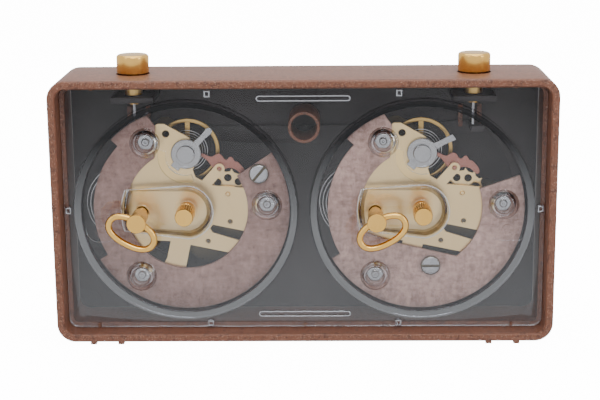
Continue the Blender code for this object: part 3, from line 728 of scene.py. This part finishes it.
def make_cover_edges():
    """The lips round the pockets, the two grip bars and the six catches, in a strongly mirroring finish that
    is a painted highlight.
    """
    outer, inner = pocket_outline(-0.25), pocket_outline(0.25)
    lips = [flat(outer, 8.95, 9.35, [inner], AXIS[side], 0.1) for side in SIDES]
    bars = [flat(capsule((-16.2, z), (16.4, z), 1.1), 7.5, 8.05, [capsule((-16.2, z), (16.4, z), 0.65)],
                 ease_width=0.12) for z in (8.65, 91.25)]
    catches = []
    for place in CATCHES:
        outer, inner = ([(-w, -h), (w, -h), (w, h), (-w, h)] for w, h in ((1.1, 1.2), (0.6, 0.7)))
        catches.append(flat(outer, 6.6, 8.05, [inner], place, 0.1))
    return finish(join(lips + bars + catches), "rear_cover_edges", CLEAR_EDGE, "case")


make_cover()
make_cover_edges()

# %% [markdown]
# Each movement hangs on a crescent of fibre board. Two brass plates with open shapes hold the wheels
# between them. Their outlines repeat those of the CAD, with smoother arcs.

# %% Plates and crescents
PIVOT_HOLE = 0.62


def plate_outline():
    return ([(-10.4, 32.6), (-7.9, 32.6), (1.3, 27.3), (5.6, 21.0), (2.4, 15.1), (3.3, 12.3), (5.8, 10.8)]
            + arc(2.0, 150, -50, 24, PALLET)
            + [(9.4, 9.0), (21.3, 8.0)]
            + arc(4.2, 70, -60, 20, NUTS["side"])
            + [(21.3, -8.8), (9.5, -6.3), (8.4, -7.8), (9.4, -9.4), (19.6, -12.6), (16.0, -17.4)]
            + [(0.8, -14.2), (-1.8, -26.0)]
            + arc(4.2, -60, -190, 20, NUTS["low"])
            + [(-25.0, -16.0), (-26.5, -4.0), (-25.0, 8.0), (-21.0, 18.0)]
            + arc(3.2, 190, 100, 14, NUTS["top"]))


def leg_gap():
    return [(-6.7, -12.7), (-12.5, -12.4), (-17.0, -15.0), (-14.0, -19.5), (-9.4, -21.5), (-8.2, -19.3)]


def crescent_outline(side):
    outer, inner, stepped = 38.8, 23.0, 35.3
    first = -110 if side == "left" else -154
    if side == "left":
        outline = arc(inner, first, 34, 48) + arc(outer, 34, -150, 72)
    else:
        outline = [(-8.9, -13.5), (13.6, -18.8)] + arc(inner, -42, 19, 20) + arc(outer, 19, -150, 66)
    outline += arc(stepped, -150, -224, 28) + arc(outer, -224, -248.5, 10)
    return outline + [(-11.2, 32.0)] + arc(inner, 121, 360 + first, 40)[:-1]


def make_plates(side):
    at = AXIS[side]
    pivots = [circle(PIVOT_HOLE, 20, place) for place in (THIRD, FOURTH, ESCAPE, PALLET, BALANCE)]
    studs = [circle(1.7, 24, place) for place in NUTS.values()]
    others = [circle(1.6, 32), leg_gap(), circle(2.5, 32, KEY), circle(1.4, 24, (-7.4, 28.8))]
    back = flat(plate_outline(), PLATE_BACK, PLATE_FRONT, pivots + studs + others, at)
    sink = [(0, 15.1), (1.35, 15.1), (PIVOT_HOLE, 15.75), (0, 15.75)]
    sinks = [turned(sink, in_movement(side, place), 20) for place in (THIRD, FOURTH, ESCAPE, PALLET)]
    combine(back, sinks, "DIFFERENCE")
    ease(back, 0.12, 1, 60)
    finish(back, f"back_plate_stamped_{side}", BRASS, "case", [f"back_plate_{side}"], 30)
    holes = [circle(1.9, 24, place) for place in NUTS.values()] + [circle(2.1, 24, CLAMP_SCREW[side])]
    board = flat(crescent_outline(side), BOARD_BACK, BOARD_FRONT, holes, at, 0.18)
    finish(board, f"crescent_board_{side}", BOARD[side], "case", [f"spacer_{side}"], 30)


for side in SIDES:
    make_plates(side)

# %% [markdown]
# Fasteners: a chamfered hexagon nut on a threaded stud at three places of each movement, and one
# slotted screw that clamps the crescent. The chamfer is the overlap of a hexagon and a turned cone.

# %% Nuts and screws
ACROSS_FLATS = 5.5
NUT_BACK, NUT_FRONT = 11.2, 13.3
SLOT_ANGLE = {"left": -50, "right": 0}


def make_nut(name, at, stands_for):
    nut = flat(circle(ACROSS_FLATS / math.sqrt(3), 6), NUT_BACK, NUT_FRONT, at=at)
    cone = [(0, NUT_BACK), (2.65, NUT_BACK), (3.3, NUT_BACK + 0.4), (3.3, NUT_FRONT), (0, NUT_FRONT)]
    cone = turned(cone, at, 48)
    combine(nut, [cone], "INTERSECT")
    threads = [(0, 10.2), (1.1, 10.2), (1.4, 10.45)]
    for turn_number in range(3):
        threads += [(1.5, 10.55 + 0.25 * turn_number), (1.3, 10.68 + 0.25 * turn_number)]
    stud = turned(threads + [(1.5, 11.4), (1.5, 16.7), (0, 16.7)], at, 32)
    dimple = turned([(0, 9.9), (0.75, 9.9), (0, 10.9)], at, 20)
    combine(nut, [stud], "UNION")
    combine(nut, [dimple], "DIFFERENCE")
    return finish(nut, name, ZINC, "case", [stands_for], 30)


def make_screw(side):
    at = in_movement(side, CLAMP_SCREW[side])
    head = [(0, 11.5), (2.6, 11.5), (3.3, 11.7), (3.7, 12.1), (3.75, 12.5), (3.75, 13.3), (1.7, 13.3),
            (1.7, 16.0), (0, 16.0)]
    screw = turned(head, at, 64)
    slot = block((at[0] - 5, 11.0, at[1] - 0.5), (at[0] + 5, 12.5, at[1] + 0.5))
    turn(slot, SLOT_ANGLE[side], spot(at[0], 0, at[1]))
    combine(screw, [slot], "DIFFERENCE")
    ease(screw, 0.08, 1, 60)
    finish(screw, f"slotted_screw_{side}", ZINC, "case", [f"clamp_screw_{side}"], 30)
    # The faces inside the slot get the very dark brass: painted shade.
    screw.data.materials.append(SHADED_BRASS)
    for face in screw.data.polygons:
        away = face.center / MM - spot(at[0], 0, at[1]) / MM
        if math.hypot(away.x, away.z) < 3.5 and 11.75 < away.y < 12.6:
            face.material_index = 1


for side in SIDES:
    make_screw(side)
    for which, place in NUTS.items():
        make_nut(f"hex_nut_{which}_{side}", in_movement(side, place), f"nut_{which}_{side}")

# %% [markdown]
# The winding key is a turned pin with a flat head. Its wire bail hangs in a hole under the head.
# The bail's centre line is a rounded oval, drawn as a curve with a round bevel and turned into a mesh.

# %% Keys and bails
RING_TILT = {"left": -29.0, "right": 28.0}
WIRE = 1.25
BAIL_LENGTH, BAIL_WIDTH = 20.6, 12.2


def make_key(side):
    at = in_movement(side, KEY)
    section = [(0, -2.7), (3.1, -2.7), (3.42, -2.6), (3.55, -2.35), (3.55, -1.45), (3.45, -1.25),
               (3.05, -1.1), (2.95, -0.8), (2.95, 10.0), (2.2, 10.4), (2.2, 24.0), (3.4, 24.0),
               (3.4, 26.2), (2.2, 26.2), (2.2, 28.4), (1.7, 28.4), (1.7, 30.6), (0, 30.6)]
    key = turned(section, at, 64)
    hub = spot(at[0], 1.2, at[1])
    tunnel = turned([(0, 6), (1.6, 6), (1.6, -6), (0, -6)], (0, 0), 32, upright=True)
    tunnel.data.transform(Matrix.Translation(-spot(0, 0, 0)))
    lie_down = Matrix.Rotation(math.radians(90), 4, "Y")
    tilt = Matrix.Rotation(-math.radians(RING_TILT[side]), 4, "Y")
    tunnel.data.transform(Matrix.Translation(hub) @ tilt @ lie_down)
    combine(key, [tunnel], "DIFFERENCE")
    finish(key, f"winding_key_turned_{side}", GOLD, f"key_{side}", [f"winding_key_{side}"], 30)

    reach, half = BAIL_LENGTH / 2 - WIRE, BAIL_WIDTH / 2 - WIRE
    squareness, steps = 2 / 2.25, 96
    line = bpy.data.curves.new("bail", "CURVE")
    line.dimensions = "3D"
    line.bevel_depth = WIRE * MM
    line.bevel_resolution = 6
    oval = line.splines.new("POLY")
    oval.points.add(steps - 1)
    for number, point in enumerate(oval.points):
        x, z = polar(1.0, 360 * number / steps)
        x, z = (math.copysign(abs(v) ** squareness, v) for v in (x, z))
        point.co = (reach * x * MM, 0, (half * z - half) * MM, 1)
    oval.use_cyclic_u = True
    bail = bpy.data.objects.new("bail", line)
    bpy.context.scene.collection.objects.link(bail)
    deselect()
    bail.select_set(True)
    bpy.context.view_layer.objects.active = bail
    bpy.ops.object.convert(target="MESH")
    bail = bpy.context.object
    bail.data.transform(Matrix.Translation(hub) @ tilt)
    finish(bail, f"key_bail_wire_{side}", GOLD, f"bail_{side}", [f"key_ring_{side}"], 60)


for side in SIDES:
    make_key(side)

# %% [markdown]
# The setting knob is fluted round its edge, so that it does not slip under a fingertip. A ring of
# vertices that steps in and out 24 times is extruded from a plain round face. The grooves get a very
# dark brass, which is painted shade.

# %% Setting knobs
FLUTES = 24
KNOB_RADIUS, GROOVE_RADIUS = 3.5, 2.9


def make_knob(side):
    at = AXIS[side]
    steps = FLUTES * 4
    fluted = [polar(KNOB_RADIUS if i % 4 < 2 else GROOVE_RADIUS, 360 * i / steps) for i in range(steps)]
    small, medium, wide = (circle(radius, steps) for radius in (2.9, 3.15, 3.25))
    stations = ((small, 0.4), (medium, 0.5), (wide, 0.75), (fluted, 1.15), (fluted, 9.8), (wide, 10.0))
    knob = lofted([ring_at(outline, depth, at) for outline, depth in stations])
    arbor = turned([(0, 9.0), (2.3, 9.0), (2.3, 11.0), (1.2, 11.0), (1.2, 36.5), (0, 36.5)], at, 32)
    combine(knob, [arbor], "UNION")
    finish(knob, f"setting_knob_fluted_{side}", GOLD, f"hands_{side}",
           [f"setting_knob_{side}"], 30)
    # The faces down in the grooves get the very dark brass: painted shade.
    knob.data.materials.append(SHADED_BRASS)
    for face in knob.data.polygons:
        away = face.center / MM - spot(at[0], 0, at[1]) / MM
        if 2.5 < math.hypot(away.x, away.z) < 3.1 and 1.0 < away.y < 9.9:
            face.material_index = 1


for side in SIDES:
    make_knob(side)

# %% [markdown]
# The regulator shortens or lengthens the hairspring. It is a bright turned disc with a cap, three small
# spanner notches, an index arm, and a tab that grips the spring. Its rings are cut in the
# finish, about its own centre.

# %% Regulators
REGULATOR_ANGLE = {"left": 45.0, "right": 28.0}
ARM_OUTLINE = {
    "left": [(3.6, -1.3), (9.0, -1.0), (12.4, -1.35), (13.6, -0.6), (13.6, 0.6), (12.4, 1.35), (9.0, 1.0),
             (3.6, 1.3)],
    "right": [(3.6, -1.4), (8.6, -1.1), (13.6, -1.5), (13.2, 1.1), (8.6, 1.1), (3.6, 1.4)]}


def make_regulator(side):
    at = in_movement(side, BALANCE)
    section = [(0, 12.55), (2.2, 12.5), (2.8, 12.4), (3.2, 12.5), (3.4, 12.8), (3.4, 13.7), (4.9, 13.7),
               (5.4, 13.75), (5.65, 13.95), (5.7, 14.2), (5.7, 15.0), (0, 15.0)]
    disc = turned(section, at, 96)
    arm = flat(ARM_OUTLINE[side], 13.85, 14.7, at=at, ease_width=0.15)
    tab = block((at[0] - 2.0, 13.3, at[1] - 6.9), (at[0] + 1.6, 14.6, at[1] - 4.4), 0.25)
    turn(arm, -REGULATOR_ANGLE[side], spot(at[0], 0, at[1]))
    turn(tab, 38, spot(at[0], 0, at[1]))
    combine(disc, [arm, tab], "UNION")
    notches = [flat(circle(0.45, 16, polar(3.05, angle)), 12.0, 13.2, at=at) for angle in (0, 120, 240)]
    combine(disc, notches, "DIFFERENCE")
    bright = turned_metal(f"regulator_turned_{side}", (0.22, 0.225, 0.235), (0.62, 0.625, 0.64), 0.22,
                          spot(at[0], 0, at[1]))
    return finish(disc, f"regulator_disc_{side}", bright, f"regulator_{side}",
                  [f"regulator_{side}"], 25)


for side in SIDES:
    make_regulator(side)

# %% [markdown]
# The balance is a thin brass rim on one spoke, with a flat spiral hairspring behind the
# regulator. The mainspring is open, as in an alarm clock: it has uncoiled sideways until it shows
# beside the crescent.

# %% Balance and springs
BALANCE_OUT, BALANCE_IN = 12.0, 10.6
HAIR_COILS, MAIN_COILS = 7, 14


def spiral(inner, outer, turns, steps, drift=(0.0, 0.0), start=0.0):
    path = []
    for i in range(int(turns * steps) + 1):
        part = i / (turns * steps)
        centre = (drift[0] * part, drift[1] * part)
        path.append(polar(inner + (outer - inner) * part, start + 360.0 * i / steps, centre))
    return path


def make_balance(side):
    at = in_movement(side, BALANCE)
    rim = flat(circle(BALANCE_OUT, 96), 22.3, 23.9, [circle(BALANCE_IN, 96)], at, 0.15)
    spoke = flat(capsule((0, -11.2), (0, 11.2), 0.9), 22.5, 23.6, at=at)
    hub = turned([(0, ARBOR_BACK), (0.6, ARBOR_BACK), (0.7, 16.0), (0.7, 21.2), (1.8, 21.4), (1.8, 24.4),
                  (0.7, 24.6), (0.7, ARBOR_FRONT), (0, ARBOR_FRONT)], at, 32)
    combine(rim, [spoke, hub], "UNION")
    finish(rim, f"balance_rim_{side}", RICH_BRASS, f"balance_{side}", [f"balance_wheel_{side}"], 30)
    hair = strip(spiral(1.7, 8.2, HAIR_COILS, 48, start=200), 19.9, 20.5, 0.16, at)
    finish(hair, f"hairspring_coil_{side}", STEEL, "case", [f"hairspring_{side}"], 50)
    path = spiral(4.4, 15.0, MAIN_COILS, 60, drift=(-6.7, 3.5), start=20)
    coil = strip(path, 18.2, 23.6, 0.2, in_movement(side, KEY))
    finish(coil, f"mainspring_coil_{side}", STEEL, "case", [f"mainspring_{side}"], 50)


for side in SIDES:
    make_balance(side)

# %% [markdown]
# The pallet lever is stamped from a copper-coloured alloy with two humps. Cutting the corners of a
# coarse outline twice gives its soft curves. The escape wheel below it has fifteen raked
# teeth and a ring of round holes.

# %% Escapement
ESCAPE_TEETH = 15
TOOTH = ((7.9, 0.0), (8.5, 6.0), (9.2, 9.0), (8.9, 10.5), (8.1, 12.0))


def soften(points, times):
    for _ in range(times):
        cut = []
        for (ax, az), (bx, bz) in zip(points, points[1:] + points[:1]):
            cut += [(share * ax + (1 - share) * bx, share * az + (1 - share) * bz) for share in (0.75, 0.25)]
        points = cut
    return points


def slim_arbor(at):
    """A steel arbor with a chamfered end, pivoted in both plates."""
    section = [(0, ARBOR_BACK), (0.55, ARBOR_BACK), (0.7, 15.8), (0.7, ARBOR_FRONT), (0, ARBOR_FRONT)]
    return turned(section, at, 24)


def make_escapement(side):
    at = in_movement(side, PALLET)
    lever = [(-6.9, 6.0), (-3.2, 3.9), (-1.8, 4.9), (-0.3, 5.5), (0.9, 4.9), (1.8, 3.2), (2.9, 3.0),
             (3.7, 4.2), (4.9, 4.1), (5.7, 2.3), (6.9, 2.3), (8.0, 1.0), (9.3, -0.4), (9.7, -2.4),
             (8.3, -3.0), (6.6, -0.9), (4.4, 0.0), (2.2, -0.2), (1.0, -1.8), (-1.6, -1.6), (-3.4, 1.2),
             (-5.0, 3.4), (-7.3, 4.6)]
    lever = flat(soften(lever, 2), 17.4, 18.0, at=at, ease_width=0.12)
    combine(lever, [slim_arbor(at)], "UNION")
    finish(lever, f"pallet_lever_stamped_{side}", COPPER, f"pallet_{side}",
           [f"pallet_lever_{side}"], 30)

    at = in_movement(side, ESCAPE)
    teeth = []
    for tooth in range(ESCAPE_TEETH):
        start = tooth * 360.0 / ESCAPE_TEETH
        teeth += [polar(radius, start + along) for radius, along in TOOTH]
    first_hole = 91 if side == "left" else 65
    holes = [circle(1.45, 28, polar(5.6, first_hole + 45 * i)) for i in range(8)]
    wheel = flat(teeth, 18.6, 19.2, holes, at, 0.06)
    leaf = [polar(1.75 if i % 2 else 1.05, 30 * i + (7 if i % 2 else 0)) for i in range(12)]
    pinion = flat(leaf, 20.9, 22.3, at=at)
    combine(wheel, [pinion, slim_arbor(at)], "UNION")
    finish(wheel, f"escape_wheel_stamped_{side}", BRASS, f"escape_{side}",
           [f"escape_wheel_{side}"], 30)


for side in SIDES:
    make_escapement(side)

# %% [markdown]
# Each button is a brass cap on a stem. Below the shelf the stem ends in a thin disc, and a steel pin
# reaches down to the rocker.

# %% Buttons
STEM, COLLAR, PIN = 2.2, 2.45, 0.75
CAP_LOW, COLLAR_HIGH, COLLAR_LOW, PIN_END = 99.5, 88.5, 87.9, 79.2


def make_button(side):
    at = (BUTTON[side], BUTTON_DEPTH)
    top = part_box(f"button_{side}")[1][2] / MM - FOOT
    crown = arc(1.1, 90, 0, 6, (4.9, top - 1.1))
    stem = [(6.0, CAP_LOW + 0.4), (5.8, CAP_LOW), (STEM, CAP_LOW), (STEM, COLLAR_HIGH), (COLLAR, COLLAR_HIGH),
            (COLLAR, COLLAR_LOW), (PIN, COLLAR_LOW), (PIN, PIN_END + 0.2), (0.5, PIN_END), (0, PIN_END)]
    button = turned([(0, top)] + crown + stem, at, 96, upright=True)
    finish(button, f"button_turned_{side}", GOLD, f"button_{side}", [f"button_{side}"], 30)
    button.data.materials.append(ZINC)
    pin_top = spot(0, 0, COLLAR_LOW - 0.1).z
    for face in button.data.polygons:
        if face.center.z < pin_top:
            face.material_index = 1


for side in SIDES:
    make_button(side)

# %% [markdown]
# The dial side is what the players see: a satin white disc with sixty strokes and twelve numbers,
# and a domed lens. Numbers are text objects turned into meshes. They have to read from the
# dial side, so each is stood up and turned to face +Y.

# %% Dials and lenses
PRINT_BACK, PRINT_FRONT = 33.35, 33.46
LENS_FACE, LENS_RADIUS, LENS_BACK = 39.6, 33.3, 36.2
NUMBER_RADIUS, NUMBER_SIZE = 25.4, 6.2


def make_dial(side):
    at = AXIS[side]
    dial = turned([(2.9, 32.8), (36.6, 32.8), (37.0, 33.0), (37.0, 33.2), (36.8, 33.4), (2.9, 33.4)], at, 128)
    pin = turned([(0, 33.2), (0.6, 33.2), (0.6, 37.0), (0.4, 37.2), (0, 37.2)], (at[0], at[1] + 29.0), 24)
    combine(dial, [pin], "UNION")
    finish(dial, f"dial_disc_{side}", IVORY, "case", [f"dial_{side}"], 30)
    # The dial's back, seen through the windows, gets the dark panel plastic: painted shade.
    dial.data.materials.append(PANEL)
    for face in dial.data.polygons:
        if face.normal.y < -0.2:
            face.material_index = 1

    marks = []
    for minute in range(60):
        half, inner = (0.45, 29.6) if minute % 5 == 0 else (0.18, 30.9)
        stroke = block((at[0] - half, PRINT_BACK, at[1] + inner), (at[0] + half, PRINT_FRONT, at[1] + 32.4))
        marks.append(turn(stroke, 6 * minute, spot(at[0], 0, at[1])))
    for hour in range(1, 13):
        deselect()
        bpy.ops.object.text_add()
        number = bpy.context.object
        number.data.body = str(hour)
        number.data.align_x = "CENTER"
        number.data.align_y = "CENTER"
        number.data.size = NUMBER_SIZE * MM
        number.data.extrude = (PRINT_FRONT - PRINT_BACK) / 2 * MM
        bpy.ops.object.convert(target="MESH")
        number = bpy.context.object
        x, z = polar(NUMBER_RADIUS, 90 + 30 * hour)
        stand = Matrix.Rotation(math.radians(180), 4, "Z") @ Matrix.Rotation(math.radians(90), 4, "X")
        number.data.transform(Matrix.Translation(spot(at[0] + x, PRINT_FRONT - 0.055, at[1] + z)) @ stand)
        marks.append(number)
    print_marks = join(marks)
    edit(print_marks)
    close_up(1e-7)
    finish(print_marks, f"dial_print_{side}", BLACK, "case", angle=30)

    hollow, ceiling = LENS_RADIUS - 1.4, LENS_FACE - 1.2
    outside = [(r, LENS_FACE - 1.9 * (r / LENS_RADIUS) ** 2) for r in range(0, 34, 3)]
    skirt = [(LENS_RADIUS, 37.5), (LENS_RADIUS, LENS_BACK), (hollow, LENS_BACK), (hollow, 37.1)]
    inside = [(r, ceiling - 1.2 * (r / hollow) ** 2) for r in range(30, -1, -3)]
    crystal = turned(outside + skirt + inside, at, 96)
    finish(crystal, f"lens_dome_{side}", LENS, "case", [f"crystal_{side}"], 30)


for side in SIDES:
    make_dial(side)

# %% [markdown]
# The rocker lies between the movements and the dials. Its bar is dark, like the panel, and the two
# brown fingers at each end guide the pin of a button.

# %% Rocker
TONGUE_LOW, TONGUE_HIGH = 76.9, 78.9
FINGER_LOW, FINGER_HIGH = 76.0, 84.9
FINGER_GAP, FINGER_HALF = 3.6, 0.9


def make_rocker():
    arm = BUTTON["right"] + 6
    outline = [(-arm, -1.0), (-20, -5.0), (20, -5.0), (arm, -1.0), (arm, 3.9), (30, 1.8), (-30, 1.8),
               (-arm, 3.9)]
    bar = flat(outline, ROCKER_BACK, ROCKER_FRONT, [circle(2.0, 40)], (0, ROCKER_PIVOT), 0.2)
    tongues = []
    for x in BUTTON.values():
        near, far = sorted((x - math.copysign(0.8, x), x + math.copysign(3.7, x)))
        tongues.append(block((near, BUTTON_DEPTH - 2, TONGUE_LOW), (far, ROCKER_FRONT - 0.3, TONGUE_HIGH)))
    combine(bar, tongues, "UNION")
    finish(bar, "rocker_bar", PANEL, "rocker", ["rocker"], 30)
    fingers = [block((x + post - FINGER_HALF, ROCKER_BACK - 0.05, FINGER_LOW),
                     (x + post + FINGER_HALF, ROCKER_FRONT + 0.05, FINGER_HIGH), 0.15)
               for x in BUTTON.values() for post in (-FINGER_GAP, FINGER_GAP)]
    finish(join(fingers), "rocker_fingers", CASE, "rocker")


make_rocker()

# %% [markdown]
# What the CAD already draws well enough keeps its own mesh, and only gets a finish: the front plate
# and the wheels deep in the movement, the hands, the flag and the bushings.

# %% Finishes for the CAD's own parts
# The front plate and the wheels deep in the movement get the very dark brass: painted shade.
KEPT = {"front_plate": SHADED_BRASS, "great_wheel": SHADED_BRASS, "centre_wheel": SHADED_BRASS,
        "third_wheel": SHADED_BRASS, "fourth_wheel": SHADED_BRASS, "minute_hand": BLACK, "hour_hand": BLACK,
        "flag": RED, "bushing": RICH_BRASS}
kept = {f"{name}_{side}": look for name, look in KEPT.items() for side in SIDES}
for name, look in kept.items():
    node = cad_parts[name]
    for number in range(len(node.material_slots)):
        node.material_slots[number].material = look
print("kept", len(kept), "CAD parts")

# %% [markdown]
# A white floor and backdrop, which do not light the clock themselves, a soft white room, four soft
# boxes, and a camera a little above the clock, looking at its back.

# %% Studio
CENTRE = Vector((0.0, 0.0, 0.05))
WHITE = (0.95, 0.95, 0.95, 1.0)
CAMERA_AT = (8.80 * MM, -540.27 * MM, 180.57 * MM)
LOOK_DOWN, HEADING, ROLL = 0.2346, 0.0192, -0.0089
FOCAL_LENGTH = 87.75


def glowing(name, colour, strength):
    look = Finish(name)
    return look.surface(base_color=colour, roughness=0.9, emission_color=colour, emission_strength=strength)


def white_sheet(name, at, rotation=(0, 0, 0)):
    """A sheet that the camera sees as white, but that neither lights the clock nor shows in it."""
    deselect()
    bpy.ops.mesh.primitive_plane_add(size=8.0, location=at, rotation=rotation)
    sheet = bpy.context.object
    sheet.name = name
    sheet.data.materials.append(SHEET_WHITE)
    sheet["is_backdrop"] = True
    sheet.visible_diffuse = sheet.visible_glossy = False


def soft_box(name, at, size, watts):
    deselect()
    bpy.ops.object.light_add(type="AREA", location=at)
    light = bpy.context.object
    light.name = name
    light.data.shape = "RECTANGLE"
    light.data.size, light.data.size_y = size
    light.data.energy = watts
    light.rotation_euler = (CENTRE - Vector(at)).to_track_quat("-Z", "Y").to_euler()


SHEET_WHITE = glowing("studio_white", WHITE, 14.0)
white_sheet("floor", (0, 0, 0))
white_sheet("backdrop", (0, 1.6, 0), (math.pi / 2, 0, 0))

world = bpy.data.worlds.new("studio")
bpy.context.scene.world = world
world.use_nodes = True
world.node_tree.nodes["Background"].inputs["Color"].default_value = (1.0, 1.0, 1.0, 1.0)
world.node_tree.nodes["Background"].inputs["Strength"].default_value = 1.2
soft_box("overhead", (0.0, 0.0, 0.75), (1.0, 0.4), 4)
soft_box("high_front", (0.1, -0.75, 0.82), (0.6, 0.22), 3.5)
soft_box("left_front", (-0.75, -0.8, 0.45), (0.15, 0.5), 0.5)
soft_box("right_front", (0.9, -0.6, 0.4), (0.15, 0.5), 1.5)

deselect()
bpy.ops.object.camera_add(location=CAMERA_AT)
camera = bpy.context.object
camera.name = "camera"
heading = Matrix.Rotation(HEADING, 3, "Z")
look_down = Matrix.Rotation(math.pi / 2 - LOOK_DOWN, 3, "X")
roll = Matrix.Rotation(ROLL, 3, "Z")
camera.rotation_euler = (heading @ look_down @ roll).to_euler()
camera.data.lens = FOCAL_LENGTH
camera.data.sensor_width = 36.0
camera.data.sensor_fit = "HORIZONTAL"
bpy.context.scene.camera = camera

# %% Sizes
model_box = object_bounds()
for before, after in zip(cad_box, model_box):
    print([round(v / MM, 2) for v in before], [round(v / MM, 2) for v in after])
